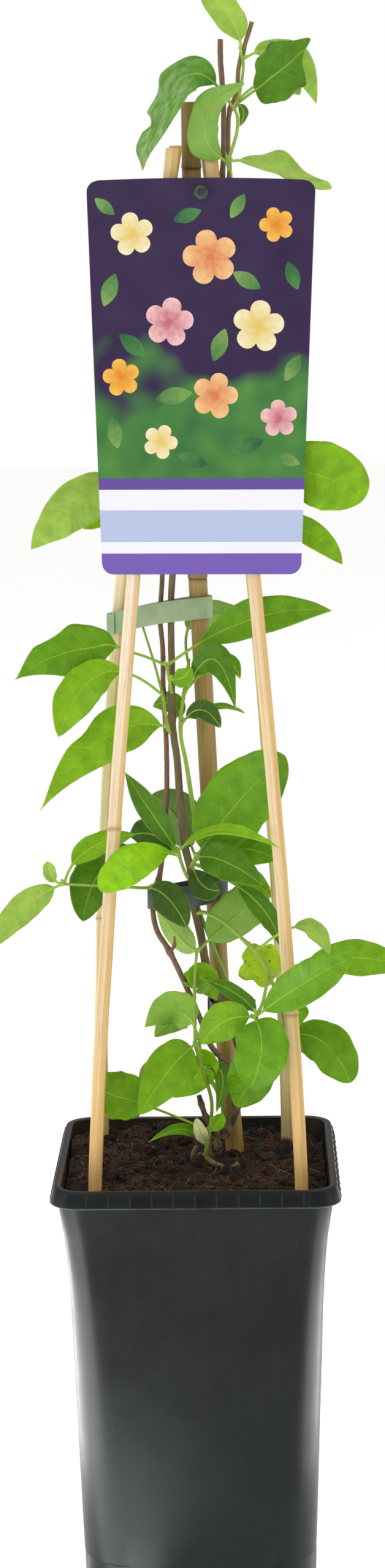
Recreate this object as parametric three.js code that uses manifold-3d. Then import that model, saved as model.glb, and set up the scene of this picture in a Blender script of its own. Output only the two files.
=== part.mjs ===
// A young honeysuckle in a square nursery pot, trained on four split canes and one round cane.
// Millimetres, +Z up. The origin is the middle of the pot's base, and -Y is the labelled front.
import * as THREE from 'three';
import { mergeVertices } from 'three/addons/utils/BufferGeometryUtils.js';
import Module from 'manifold-3d';

const wasm = await Module();
wasm.setup();

// ---- Driving dimensions ----

const GAP = 0.3;
const SLIVER = 0.05;

const POT_HEIGHT = 195;
const POT_WALL = 1.5;
const POT_FLOOR = 2;
// [height, half width, corner radius] of the outside, from the base up to the lip
const POT_BODY = [
  [0, 52.6, 21], [15.5, 53.2, 21.5], [17.5, 53.4, 21.5], [49, 54.4, 20], [78, 55.2, 18.5], [106, 56.1, 17],
  [135, 56.9, 15], [154, 57.8, 13.5], [170, 59.1, 12.5], [181, 60.7, 12], [187.5, 61.6, 12],
];
const INNER_HEIGHTS = [170, 154, 106, 49, 17.5];
const FLOOR_FILLET = 1;
const LIP_BOTTOM = 187.5;
const LIP_HALF = 65;
const RIM_HALF = 63;
const LIP_CORNER = 13;
const CORNER_STEPS = 4;
const DRAIN_RADIUS = 4.5;
const DRAIN_SPOTS = [[34, 34], [-34, 34], [-34, -34], [34, -34], [36, 0], [-36, 0], [0, 36], [0, -36]];

const SOIL_TOP = 186.5;
const SOIL_DOME = 2;
const SOIL_DOME_REACH = 60;
const SOIL_LUMP = 1.1;
const SOIL_EDGE = 1;
const SOIL_CORNER = 9;
const SOIL_RINGS = [1, 0.86, 0.66, 0.44, 0.2];

const STAKE_WIDTH = 6;
const STAKE_DEPTH = 4.6;
const STAKE_CORNER = 0.9;
const STAKE_FOOT = 58;
const STAKE_SHARES = [0, 0.06, 0.15, 0.28, 0.45, 0.65, 0.85, 1];
// place at the soil, top, and how late the stake leans sideways on its way up
const STAKES = {
  stake_front_left: [[-45.3, -38, 188], [-5.3, -2, 650], 1.28],
  stake_front_right: [[47.6, -39.7, 188], [11.7, 2, 644.7], 1.25],
  stake_back_left: [[-45.5, 38, 188], [-4, 5, 651.3], 2],
  stake_back_right: [[42.5, 34, 188], [10, 19, 647], 1.55],
};

const CANE_RADIUS = 4.25;
const CANE_SIDES = 12;
// foot, place at the soil, three nodes and top
const CANE_LINE = [
  [17.6, 21, 100], [17.6, 21, 189], [11.3, 18, 270], [3.2, 15, 460], [2.6, 12.5, 642], [2.6, 12, 670.4],
];
const CANE_NODES = [270, 460, 642];
const CANE_NODE_SWELL = 0.55;
const CANE_NODE_SHAPE = [[-3, 0], [-0.7, CANE_NODE_SWELL], [0.7, CANE_NODE_SWELL], [4, 0]];
const CANE_CHAMFER = 0.8;

const LABEL_THICK = 0.8;
const LABEL_TOP_HALF = 50;
const LABEL_BOTTOM_HALF = 43.8;
const LABEL_HEIGHT = 172.5;
const LABEL_CORNER = 5;
const LABEL_ARCH = 1.2;
const LABEL_MIDDLE = [6.3, -15.4, 550.7];
const LABEL_LEAN = 3.1;
const LABEL_ROLL = 0.5;
const LABEL_HOLE_RADIUS = 2.2;
const LABEL_HOLE_DROP = 6.3;

const RIVET_HEAD_RADIUS = 3.4;
const RIVET_SHANK_RADIUS = 1.5;

const TAPE_THICK = 0.8;
const TIES = {
  top_tie: {
    tape: 7,
    route: [
      [-9.6, -9.1, 631], [2, -6.9, 631], [14, -4.6, 631], [18.6, -0.6, 631], [22.4, 8, 631],
      [22.4, 14.5, 631], [18.5, 22, 631], [9.5, 26.2, 631], [3, 22.8, 631], [-6.4, 14.8, 631],
      [-12.6, 9.6, 631], [-13.4, 0, 631], [-12.8, -6.4, 631],
    ],
  },
  tie_upper: {
    tape: 10,
    route: [
      [-37.6, 21.6, 438.6], [-37.6, 18, 438.6], [-35.6, 15.6, 439], [-30, 12.6, 441], [-22, 10, 443],
      [-14, 9.4, 444.5], [-5, 9.4, 445.6], [3.6, 9.6, 446.4], [8.2, 11, 446.8], [9.5, 15.4, 446.8],
      [7.8, 19.2, 446.7], [3, 21.1, 446.3], [-6, 22.2, 445], [-20, 23, 442.4], [-30, 23.6, 440],
      [-35.9, 23.9, 438.8],
    ],
  },
  tie_middle: {
    tape: 10,
    route: [
      [-21, 9, 313.4], [-19.6, 5.8, 313.6], [-11, 4.6, 314.2], [-1, 4, 314.9], [4.6, 5.4, 315.3],
      [9.4, 9.6, 315.9], [14, 13.2, 316.5], [15.2, 17.4, 316.7], [13, 21.4, 316.6], [8.8, 22.8, 316.2],
      [4.4, 20.8, 315.8], [-6, 14.6, 314.8], [-15, 12, 313.8], [-20, 11.6, 313.4],
    ],
  },
  tie_lower: {
    tape: 5.5,
    route: [
      [6.7, 18, 262.4], [6.7, 9, 262.2], [8.2, 4.8, 262], [12.4, 3.5, 261.9], [17.6, 5.2, 261.8],
      [21, 8.2, 261.7], [21.2, 12, 261.7], [19, 18.6, 261.9], [16.2, 22.6, 262.1], [12.2, 24, 262.3],
      [7.8, 21.8, 262.4],
    ],
    tail: [[20.6, 11, 261.7], [24, 13.6, 261.4], [27.6, 15.4, 261]],
  },
};

// brown wood: the radius at the two ends of each stem, and points along it
const WOODY_STEMS = [
  // the stump
  { radius: [3.4, 2.7], points: [[-1, 7, 140], [0, 7, 172], [3, 7, 187], [6, 8, 193], [10, 9, 199]] },
  // the main stem, cut off at its top
  {
    radius: [2.4, 1.2],
    points: [
      [11, 9, 199], [13, 10, 202], [17, 11, 210], [20, 10, 220], [22, 8, 233], [19, 7, 246],
      [13, 7, 260], [8, 7, 272], [5, 8, 282], [3, 8, 295], [0, 7, 310], [-1, 7, 324], [-4, 8, 338],
      [-5, 8, 349], [-6, 9, 360], [-7, 9, 377], [-9, 10, 394], [-9, 11, 419], [-9, 12, 442],
      [-8, 12, 462], [-2, 3, 489], [8, -2, 517], [12, 2, 544], [7, 7, 571], [-1, 6, 594], [3, 3, 610],
      [11, 8, 624], [16, 8, 638], [17, 8, 651], [17, 8, 672], [16, 8, 688], [16, 8, 697],
    ],
  },
  // the climber, cut off at its top
  {
    radius: [1.4, 1],
    points: [
      [21, 9, 226], [14, 5, 236], [7, 2, 245], [3, 1, 256], [-4, 2, 273], [-12, 4, 290], [-17, 6, 298],
      [-19, 8, 308], [-17, 9, 318], [-15, 10, 328], [-13, 11, 349], [-12, 11, 363], [-12, 11, 389],
      [-13, 12, 408], [-13, 13, 428], [-14, 14, 441], [-13, 16, 458], [-12, 16, 477], [-4, 10, 503],
      [3, 7, 514], [8, 8, 524], [15, 6, 550], [13, 0, 578], [6, -4, 600], [8, 4, 613], [13, 9, 625],
      [19, 12, 637], [19, 11, 653], [20, 9, 667], [23, 8, 674], [24, 7, 685], [27, 6, 695], [30, 5, 704],
    ],
  },
  // a green stem alongside the main one
  {
    radius: [1.2, 0.9],
    points: [
      [20, 8, 242], [18, 9, 263], [13, 10, 278], [8, 10, 291], [4, 9, 302], [1, 7, 312],
    ],
  },
  // a dead stub
  { radius: [2, 1.2], points: [[11, 9, 199], [8, 8, 204], [5, 8, 208], [3, 8, 213], [1, 8, 220]] },
  // a short twig
  { radius: [0.9, 0.7], points: [[-11, 4, 289], [-9, 2, 293], [-9, 1, 297]] },
  // a broken root end
  { radius: [1.6, 1], points: [[5, 6, 186], [-2, 4, 188], [-2, 3, 191], [0, 4, 195]] },
  // a root over the soil
  { radius: [1.4, 1], points: [[2, 6, 188], [7, 0, 188], [11, -3, 188], [16, -3, 187], [18, 1, 188]] },
];

const LEAF_THICK = 0.8;
const LEAF_STEPS = 6;
const LEAF_FOLD = 0.22;
const LEAF_WAVE = 0.07;
const LEAF_RIPPLE = 2.2 * Math.PI;
const LEAF_PHASE = 2.4;
const LEAF_TIP = 0.4;
const PETIOLE_RADIUS = 0.75;

// where the upper face of a leaf looks
const FACING = {
  front: [0, -1, 0.25],
  back: [0, 1, 0.25],
  sky: [0, -0.35, 1],
  half: [0, -0.8, 0.75],
};

// Each green shoot: its stems, each with the radius at its two ends, and its leaves as [name,
// petiole root, middle, tip, width, facing, share of the length that is petiole, how the blade
// widens at its base, how it tapers to its tip].
const SHOOTS = {
  shoot_top_front: {
    stems: [
      {
        radius: [1.1, 0.8],
        points: [
          [19, 12, 635], [20, 6, 638], [19, -1, 644], [21, -2, 650], [23, -3, 657], [23, -3, 664],
          [20, -3, 669], [18, -4, 672],
        ],
      },
    ],
    leaves: [
      ['arch', [18, -4, 672], [-2, -10, 679], [-18, -18, 640], 18, 'front', 0.1, 0.7, 0.9],
      ['pale_fold', [19, -1, 644], [10, -10, 660], [27, -10, 677], 21, 'back', 0.05, 0.6, 0.9],
      ['droop_right', [19, -1, 644], [40, -1, 643], [64, -3, 632], 17, 'half', 0.12, 0.9, 0.7],
    ],
  },
  shoot_top_back: {
    stems: [
      {
        radius: [0.9, 0.7],
        points: [
          [22, 9, 667], [23, 5, 669], [25, 3, 677], [26, 4, 686], [25, 4, 691],
        ],
      },
    ],
    leaves: [
      ['crown', [25, 4, 691], [20, 2, 706], [4, -3, 721], 14, 'front', 0.16, 0.8, 0.9],
      ['broad', [23, 5, 670], [39, -4, 680], [52, -10, 689], 27, 'front', 0.24, 0.4, 0.3],
      ['hook', [26, 4, 687], [45, 8, 691], [58, 10, 669], 14, 'front', 0.12, 0.7, 0.9],
      ['small', [23, 5, 670], [26, 1, 665], [24, -1, 659], 4, 'front', 0.1, 0.6, 0.9],
      ['behind', [25, 4, 680], [40, 22, 681], [51, 30, 674], 14, 'back', 0.2, 0.6, 0.8],
    ],
  },
  shoot_label_high: {
    stems: [
      { radius: [1.1, 0.8], points: [[12, 1, 565], [8, 2, 572], [8, 2, 589], [9, 5, 604], [8, 8, 612]] },
    ],
    leaves: [
      ['tip_left', [8, 2, 576], [-19, 5, 582], [-42, -2, 579], 13, 'front', 0.1, 0.7, 0.9],
      ['back_right', [8, 2, 576], [30, 14, 588], [45, 24, 585], 17, 'back', 0.3, 0.7, 0.8],
      ['back_top_left', [8, 3, 598], [-14, 4, 604], [-32, 16, 592], 16, 'front', 0.45, 0.7, 0.8],
      ['back_top_right', [9, 5, 604], [27, 18, 608], [44, 32, 598], 18, 'back', 0.3, 0.7, 0.8],
    ],
  },
  shoot_label_low: {
    stems: [
      { radius: [1.2, 0.9], points: [[-10, 13, 468], [-10, 9, 475], [-12, 4, 509], [-9, 6, 530]] },
    ],
    leaves: [
      ['long_left', [-12, 4, 509], [-44, -6, 498], [-70, -14, 476], 21, 'front', 0.18, 0.8, 0.9],
      ['lobe_left', [-12, 4, 506], [-31, 10, 493], [-48, 10, 483], 12, 'front', 0.15, 0.6, 0.8],
      ['broad_right', [-11, 4, 507], [44, -6, 510], [76, -12, 495], 30, 'front', 0.4, 0.55, 0.5],
      ['low_right', [-11, 7, 492], [39, 4, 487], [68, -4, 467], 12, 'front', 0.3, 0.8, 0.8],
      ['bulge_left', [-9, 6, 528], [-25, 0, 541], [-40, -3, 539], 14, 'front', 0.1, 0.7, 0.8],
      ['back_right', [-9, 6, 528], [12, 34, 543], [32, 42, 537], 18, 'back', 0.3, 0.7, 0.8],
      ['back_left', [-10, 9, 476], [-10, 34, 490], [-26, 42, 478], 18, 'back', 0.3, 0.7, 0.8],
    ],
  },
  shoot_upper: {
    stems: [
      { radius: [1, 0.9], points: [[-9, 9, 408], [-10, 5, 415], [-11, 5, 421]] },
    ],
    leaves: [
      ['long_left', [-11, 5, 421], [-47, -2, 430], [-79, -10, 417], 22, 'front', 0.3, 0.95, 1],
      ['long_right', [-10, 5, 421], [26, -2, 442], [63, -12, 447], 17, 'front', 0.2, 0.8, 1],
      ['peep', [-10, 6, 416], [-4, 1, 416], [0, 0, 421], 9, 'front', 0.1, 0.7, 0.8],
    ],
  },
  shoot_upper_mid: {
    stems: [
      { radius: [1, 0.9], points: [[-10, 8, 390], [-11, 4, 393], [-13, 7, 407]] },
      { radius: [0.8, 0.6], points: [[-12, 7, 403], [-17, 10, 422], [-23, 16, 441]] },
    ],
    leaves: [
      ['hang_left', [-13, 7, 407], [-40, -5, 419], [-59, -22, 393], 19, 'front', 0.3, 1.1, 0.8],
      ['sweep_left', [-11, 4, 393], [-39, -6, 390], [-68, -18, 359], 21, 'front', 0.05, 1.1, 0.9],
    ],
  },
  shoot_middle_right: {
    stems: [
      {
        radius: [1.5, 0.8],
        points: [
          [1, 10, 347], [-3, 6, 377], [-5, 5, 388], [-5, 7, 397], [-1, 10, 423],
        ],
      },
    ],
    leaves: [
      ['fold_right', [-4, 8, 406], [10, -6, 425], [20, -14, 403], 14, 'front', 0.16, 0.8, 1.2],
      ['behind_fold', [-4, 8, 409], [13, 4, 423], [22, 2, 415], 8, 'front', 0.25, 0.7, 0.9],
      ['oval_right', [-5, 5, 393], [4, -4, 402], [13, -12, 395], 9, 'front', 0.16, 0.7, 0.7],
      ['edge_right', [-5, 5, 395], [10, 4, 402], [24, -2, 400], 5, 'sky', 0.3, 0.7, 1],
      ['peep_left', [-5, 6, 396], [-9, 17, 402], [-18, 22, 400], 10, 'front', 0.08, 0.7, 0.8],
      ['back_spread', [-2, 10, 420], [3, 34, 440], [32, 46, 434], 13, 'back', 0.3, 0.7, 0.8],
    ],
  },
  shoot_cluster_left: {
    stems: [
      { radius: [1.1, 0.9], points: [[-2, 7, 322], [-4, 4, 326], [-6, 3, 332], [-7, 2, 336]] },
    ],
    leaves: [
      ['bright_left', [-8, 2, 336], [-24, -34, 339], [-40, -48, 328], 17, 'front', 0.1, 0.9, 0.6],
      ['rising_left', [-8, 2, 336], [-18, -8, 355], [-30, -12, 375], 11, 'front', 0.06, 0.9, 1],
      ['dark_left', [-7, 3, 334], [-37, 2, 332], [-50, -12, 307], 22, 'front', 0.28, 0.8, 0.7],
      ['shade_left', [-7, 4, 335], [-18, 6, 343], [-29, 9, 342], 15, 'front', 0.1, 0.7, 0.8],
      ['long_arch', [-7, 2, 336], [13, -16, 349], [39, -40, 345], 7, 'half', 0.08, 0.7, 1.1],
    ],
  },
  shoot_cluster_right: {
    stems: [
      { radius: [1.1, 0.9], points: [[-2, 7, 327], [0, 4, 331], [1, 3, 333]] },
    ],
    leaves: [
      ['great_right', [1, 4, 333], [20, -4, 359], [42, -14, 382], 32, 'front', 0.08, 0.6, 0.55],
      ['wavy_right', [1, 4, 332], [20, 3, 337], [38, -4, 333], 16, 'front', 0.08, 0.7, 0.7],
      ['low_dark', [1, 3, 333], [14, -12, 334], [31, -22, 325], 17, 'front', 0.08, 0.7, 0.8],
      ['under_right', [0, 5, 330], [22, 1, 325], [35, -2, 315], 10, 'front', 0.25, 0.7, 0.9],
      ['back_high', [1, 3, 333], [-8, 20, 349], [-19, 24, 359], 21, 'back', 0.12, 0.7, 0.8],
      ['shadow', [-1, 5, 329], [4, -6, 322], [12, -14, 321], 12, 'front', 0.1, 0.7, 0.6],
      ['hang_dark', [1, 4, 329], [27, -8, 316], [39, -14, 295], 10, 'front', 0.35, 0.7, 1],
    ],
  },
  shoot_side_left: {
    stems: [
      { radius: [1, 0.7], points: [[-17, 9, 321], [-20, 0, 320], [-33, -8, 322], [-58, -16, 325]] },
    ],
    leaves: [
      ['very_dark', [-19, 0, 320], [-11, -14, 317], [-3, -22, 306], 15, 'front', 0.06, 0.7, 0.7],
      ['curl_up', [-58, -16, 325], [-48, -9, 339], [-26, -2, 345], 11, 'front', 0.26, 0.7, 0.9],
      ['spoon', [-58, -16, 325], [-63, -18, 328], [-65, -20, 336], 6, 'front', 0.35, 0.7, 0.5],
      ['far_left', [-58, -16, 325], [-75, -22, 316], [-95, -30, 295], 13, 'front', 0.14, 0.7, 0.9],
    ],
  },
  shoot_hanging: {
    stems: [
      {
        radius: [1.2, 0.9],
        points: [
          [1, 7, 306], [4, 1, 308], [12, -6, 306], [23, -16, 298], [29, -22, 293], [34, -25, 284],
          [37, -22, 275], [40, -14, 264], [41, -8, 252],
        ],
      },
      { radius: [0.9, 1], points: [[33, -25, 285], [32, -30, 278], [30, -31, 271], [27, -30, 266]] },
    ],
    leaves: [
      ['torn', [24, -17, 298], [29, -14, 288], [31, -13, 276], 21, 'front', 0.04, 0.5, 0.5],
      ['arch_right', [28, -21, 294], [49, -13, 304], [61, -18, 292], 9, 'half', 0.4, 0.7, 0.8],
      ['far_right', [34, -24, 284], [65, -12, 289], [97, -14, 285], 16, 'front', 0.28, 0.8, 0.8],
      ['front_right', [27, -30, 266], [48, -52, 286], [70, -60, 300], 18, 'front', 0.1, 0.8, 0.8],
      ['front_broad', [27, -30, 266], [30, -44, 255], [25, -40, 236], 24, 'front', 0.06, 0.55, 0.6],
      ['under_broad', [28, -30, 267], [27, -28, 244], [18, -22, 223], 21, 'front', 0.12, 0.7, 0.7],
      ['front_left', [27, -30, 266], [14, -32, 265], [3, -26, 253], 17, 'front', 0.08, 0.7, 0.8],
      ['strap_left', [28, -30, 267], [19, -22, 275], [5, -12, 279], 8, 'half', 0.05, 0.7, 0.9],
      ['broad_right', [41, -8, 253], [58, -16, 251], [70, -24, 234], 20, 'front', 0.14, 0.55, 0.5],
      ['back_right', [41, -10, 257], [45, 0, 260], [52, 2, 260], 11, 'front', 0.06, 0.7, 0.6],
      ['behind', [40, -14, 263], [46, 20, 248], [58, 28, 232], 15, 'back', 0.3, 0.7, 0.8],
    ],
  },
  shoot_low_left: {
    stems: [
      {
        radius: [1.2, 0.8],
        points: [
          [5, 8, 192], [6, 7, 204], [7, 6, 217], [3, -1, 235], [0, -6, 248], [0, -8, 261], [0, -6, 278],
          [1, -3, 290],
        ],
      },
    ],
    leaves: [
      ['rising', [1, -3, 290], [-7, 0, 297], [-17, 3, 309], 12, 'back', 0.06, 0.7, 0.9],
      ['pale_broad', [2, -3, 290], [16, 4, 303], [34, 5, 316], 23, 'back', 0.2, 0.7, 0.7],
      ['pale_left', [0, -7, 258], [-10, -2, 263], [-23, -10, 257], 19, 'back', 0.05, 0.6, 1],
      ['broad_left', [0, -6, 248], [-12, -20, 239], [-25, -32, 222], 21, 'front', 0.08, 0.6, 0.8],
      ['lime_back', [1, -5, 247], [2, 3, 234], [-12, 6, 220], 16, 'front', 0.06, 0.7, 0.8],
      ['back_up', [0, -7, 272], [3, 2, 277], [10, 4, 266], 14, 'front', 0.06, 0.7, 0.8],
      ['back_flap', [0, -7, 272], [-2, 0, 277], [-5, 4, 272], 8, 'front', 0.06, 0.7, 0.8],
      ['narrow_dark', [4, -1, 235], [12, 1, 232], [9, -4, 215], 8, 'front', 0.1, 0.7, 0.9],
    ],
  },
  shoot_low_back: {
    stems: [
      {
        radius: [1.4, 0.9],
        points: [[12, 11, 201], [12, 12, 206], [12, 13, 213], [10, 14, 219], [3, 24, 230], [1, 30, 240]],
      },
    ],
    leaves: [
      ['back_left', [7, 18, 224], [-14, 34, 226], [-25, 42, 210], 16, 'back', 0.25, 0.7, 0.7],
      ['back_right', [3, 24, 230], [22, 40, 236], [34, 48, 216], 18, 'back', 0.3, 0.7, 0.7],
      ['back_up', [1, 30, 240], [-6, 36, 250], [-20, 40, 240], 14, 'back', 0.3, 0.7, 0.8],
    ],
  },
  shoot_base: {
    stems: [
      { radius: [1.2, 0.8], points: [[3, 8, 190], [4, 1, 194], [5, 0, 201], [6, 0, 205]] },
    ],
    leaves: [
      ['low_left', [6, 0, 204], [-25, -13, 222], [-44, -22, 229], 24, 'front', 0.48, 0.5, 0.7],
      ['blade_left', [4, 0, 197], [-6, -4, 207], [-22, -11, 203], 6, 'half', 0.06, 0.9, 1.1],
      ['pale_young', [5, 0, 199], [2, -4, 205], [0, -3, 212], 6, 'half', 0.05, 0.6, 0.6],
      ['tiny', [6, 0, 204], [9, 1, 208], [12, 1, 213], 7, 'front', 0.1, 0.7, 0.6],
    ],
  },
};

// ---- Materials ----

function finish(color, roughness) {
  return new THREE.MeshStandardMaterial({ color, roughness, metalness: 0 });
}

const MATERIALS = {
  pot: () => finish(0x2e3233, 0.45),
  soil: () => finish(0x3a2419, 0.95),
  stake: () => finish(0xe2bd88, 0.6),
  cane: () => finish(0x9a7f4f, 0.6),
  wood: () => finish(0x6b4a3f, 0.8),
  leaf: () => finish(0x4f9a2c, 0.45),
  tape: () => finish(0x5a7a58, 0.7),
  rivet: () => finish(0x24332b, 0.4),
  label: () => finish(0xb9a5dc, 0.3),
};

// ---- Solids ----

function toSolid(geometry) {
  const bare = geometry.clone();
  bare.deleteAttribute('normal');
  bare.deleteAttribute('uv');
  const merged = mergeVertices(bare, 1e-4);
  const vertProperties = new Float32Array(merged.attributes.position.array);
  const triVerts = new Uint32Array(merged.index.array);
  return new wasm.Manifold(new wasm.Mesh({ numProp: 3, vertProperties, triVerts }));
}

function toGeometry(solid) {
  const mesh = solid.getMesh();
  const geometry = new THREE.BufferGeometry();
  geometry.setAttribute('position', new THREE.BufferAttribute(mesh.vertProperties, 3));
  geometry.setIndex(new THREE.BufferAttribute(mesh.triVerts, 1));
  geometry.computeVertexNormals();
  return geometry;
}

function join(solids) {
  return solids.reduce((all, one) => all.add(one));
}

// the largest piece of a solid: loose scraps go, and an enclosed hollow is filled
function onePiece(solid) {
  const pieces = solid.simplify(SLIVER).decompose();
  pieces.sort((a, b) => b.volume() - a.volume());
  return pieces[0];
}

function indexedGeometry(points, faces) {
  const geometry = new THREE.BufferGeometry();
  geometry.setAttribute('position', new THREE.Float32BufferAttribute(points.flatMap((p) => p.toArray()), 3));
  geometry.setIndex(faces.flat());
  return geometry;
}

// a skin over rings of equal count, each running anticlockwise seen from the last ring's end
function loft(rings, closed = false) {
  const count = rings[0].length;
  const points = rings.flat();
  const faces = [];
  const spans = closed ? rings.length : rings.length - 1;
  for (let i = 0; i < spans; i += 1) {
    const low = i * count;
    const high = ((i + 1) % rings.length) * count;
    for (let k = 0; k < count; k += 1) {
      const next = (k + 1) % count;
      faces.push([low + k, low + next, high + next], [low + k, high + next, high + k]);
    }
  }
  if (!closed) {
    const centre = (ring) => ring.reduce((sum, p) => sum.add(p), new THREE.Vector3()).divideScalar(count);
    points.push(centre(rings[0]), centre(rings[rings.length - 1]));
    const last = (rings.length - 1) * count;
    for (let k = 0; k < count; k += 1) {
      const next = (k + 1) % count;
      faces.push([points.length - 2, next, k], [points.length - 1, last + k, last + next]);
    }
  }
  return indexedGeometry(points, faces);
}

const vector = (p) => new THREE.Vector3(...p);

function smooth(points, closed = false) {
  return new THREE.CatmullRomCurve3(points.map(vector), closed, 'centripetal');
}

function roundedSquare(half, corner, z) {
  const ring = [];
  for (let quarter = 0; quarter < 4; quarter += 1) {
    const middle = (quarter + 0.5) * Math.PI / 2;
    const cx = Math.SQRT2 * (half - corner) * Math.cos(middle);
    const cy = Math.SQRT2 * (half - corner) * Math.sin(middle);
    for (let i = 0; i <= CORNER_STEPS; i += 1) {
      const angle = (quarter + i / CORNER_STEPS) * Math.PI / 2;
      ring.push(new THREE.Vector3(cx + corner * Math.cos(angle), cy + corner * Math.sin(angle), z));
    }
  }
  return ring;
}

// a round stick along a smooth curve, which can reach a little past the curve's ends
function stick(curve, steps, radiusAt, sides, reach = 0) {
  const frames = curve.computeFrenetFrames(steps);
  const rings = [];
  for (let i = 0; i <= steps; i += 1) {
    const centre = curve.getPointAt(i / steps);
    if (i === 0) centre.addScaledVector(frames.tangents[i], -reach);
    if (i === steps) centre.addScaledVector(frames.tangents[i], reach);
    const radius = radiusAt(i / steps);
    const ring = [];
    for (let k = 0; k < sides; k += 1) {
      const angle = k * 2 * Math.PI / sides;
      ring.push(centre.clone()
        .addScaledVector(frames.normals[i], radius * Math.cos(angle))
        .addScaledVector(frames.binormals[i], radius * Math.sin(angle)));
    }
    rings.push(ring);
  }
  return toSolid(loft(rings));
}

function stem({ points, radius }, extra = 0, sides = 5) {
  const curve = smooth(points);
  const radiusAt = (t) => radius[0] + (radius[1] - radius[0]) * t + extra;
  return stick(curve, points.length, radiusAt, sides, extra);
}

// ---- Pot and soil ----

function potHalfAt(z) {
  const index = POT_BODY.findIndex(([height]) => height >= z);
  const [z1, half1, corner1] = POT_BODY[index];
  const [z0, half0, corner0] = POT_BODY[Math.max(index - 1, 0)];
  const t = z1 > z0 ? (z - z0) / (z1 - z0) : 0;
  return [half0 + (half1 - half0) * t, corner0 + (corner1 - corner0) * t];
}

function innerRing(z, inset) {
  const [half, corner] = potHalfAt(z);
  return roundedSquare(half - inset, corner - inset, z);
}

function buildPot() {
  const outside = POT_BODY.map(([z, half, corner]) => roundedSquare(half, corner, z));
  const lip = [
    roundedSquare(LIP_HALF - 0.4, LIP_CORNER, LIP_BOTTOM + 0.01),
    roundedSquare(LIP_HALF, LIP_CORNER, LIP_BOTTOM + 0.7),
    roundedSquare(RIM_HALF + 0.3, LIP_CORNER - 1, POT_HEIGHT - 0.6),
    roundedSquare(RIM_HALF - 0.3, LIP_CORNER - 1, POT_HEIGHT),
    roundedSquare(RIM_HALF - 2.6, LIP_CORNER - 3, POT_HEIGHT),
  ];
  const inside = [LIP_BOTTOM, ...INNER_HEIGHTS, POT_FLOOR + FLOOR_FILLET].map((z) => innerRing(z, POT_WALL));
  let solid = toSolid(loft([...outside, ...lip, ...inside, innerRing(POT_FLOOR, POT_WALL + FLOOR_FILLET)]));
  for (const [x, y] of DRAIN_SPOTS) {
    const drill = new THREE.CylinderGeometry(DRAIN_RADIUS, DRAIN_RADIUS, 3 * POT_FLOOR, 8);
    drill.rotateX(Math.PI / 2);
    drill.translate(x, y, POT_FLOOR / 2);
    solid = solid.subtract(toSolid(drill));
  }
  return solid;
}

function soilHeight(x, y) {
  const dome = SOIL_DOME * (1 - (x * x + y * y) / SOIL_DOME_REACH ** 2);
  const lumps = Math.sin(x * 0.31 + 1) * Math.cos(y * 0.27) + 0.7 * Math.sin(x * 0.13 - y * 0.21 + 2);
  return SOIL_TOP + dome + SOIL_LUMP * lumps;
}

function buildSoil(holes) {
  const inset = POT_WALL + GAP;
  const sides = INNER_HEIGHTS.toReversed().map((z) => innerRing(z, inset));
  const foot = innerRing(POT_FLOOR + GAP, inset + FLOOR_FILLET);
  const topHalf = potHalfAt(SOIL_TOP)[0] - inset - SOIL_EDGE;
  const top = SOIL_RINGS.map((scale, i) => {
    const ring = roundedSquare(topHalf * scale, SOIL_CORNER * scale, 0);
    ring.forEach((p) => p.setZ(soilHeight(p.x, p.y) - (i === 0 ? SOIL_EDGE : 0)));
    return ring;
  });
  return onePiece(toSolid(loft([foot, ...sides, ...top])).subtract(join(holes)));
}

// ---- Canes ----

function stakeCentre([surface, top, bend], z) {
  const t = Math.max(z - surface[2], 0) / (top[2] - surface[2]);
  return [surface[0] + (top[0] - surface[0]) * t ** bend, surface[1] + (top[1] - surface[1]) * t];
}

function buildStake(stake, extra = 0) {
  const halfX = STAKE_WIDTH / 2 + extra;
  const halfY = STAKE_DEPTH / 2 + extra;
  const c = STAKE_CORNER;
  const outline = [
    [-halfX + c, -halfY], [halfX - c, -halfY], [halfX, -halfY + c], [halfX, halfY - c],
    [halfX - c, halfY], [-halfX + c, halfY], [-halfX, halfY - c], [-halfX, -halfY + c],
  ];
  const [[, , surface], [, , top]] = stake;
  const heights = [STAKE_FOOT, ...STAKE_SHARES.map((t) => surface + (top - surface) * t)];
  const rings = heights.map((z, i) => {
    const [cx, cy] = stakeCentre(stake, z);
    return outline.map(([x, y]) => new THREE.Vector3(cx + x, cy + y, i === 0 ? z - extra : z));
  });
  return toSolid(loft(rings));
}

function caneCentre(z) {
  const index = Math.max(CANE_LINE.findIndex((p) => p[2] >= z), 1);
  const [low, high] = [CANE_LINE[index - 1], CANE_LINE[index]];
  return vector(low).lerp(vector(high), (z - low[2]) / (high[2] - low[2])).setZ(z);
}

function buildCane(extra = 0) {
  const foot = CANE_LINE[0][2];
  const top = CANE_LINE.at(-1)[2];
  const sections = [[foot - extra, 0], [CANE_LINE[1][2], 0], [top - CANE_CHAMFER, 0], [top, -CANE_CHAMFER]];
  for (const z of CANE_NODES) {
    for (const [rise, swell] of CANE_NODE_SHAPE) sections.push([z + rise, swell]);
  }
  sections.sort((a, b) => a[0] - b[0]);
  const rings = sections.map(([z, swell]) => {
    const radius = CANE_RADIUS + swell + extra;
    const ring = [];
    for (let k = 0; k < CANE_SIDES; k += 1) {
      const angle = k * 2 * Math.PI / CANE_SIDES;
      const spoke = new THREE.Vector3(radius * Math.cos(angle), radius * Math.sin(angle), 0);
      ring.push(spoke.add(caneCentre(z)));
    }
    return ring;
  });
  return toSolid(loft(rings));
}

// ---- Label, rivet and ties ----

function inLabelFrame(geometry) {
  geometry.rotateY(THREE.MathUtils.degToRad(LABEL_ROLL));
  geometry.rotateX(THREE.MathUtils.degToRad(-LABEL_LEAN));
  geometry.translate(...LABEL_MIDDLE);
  return geometry;
}

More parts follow.
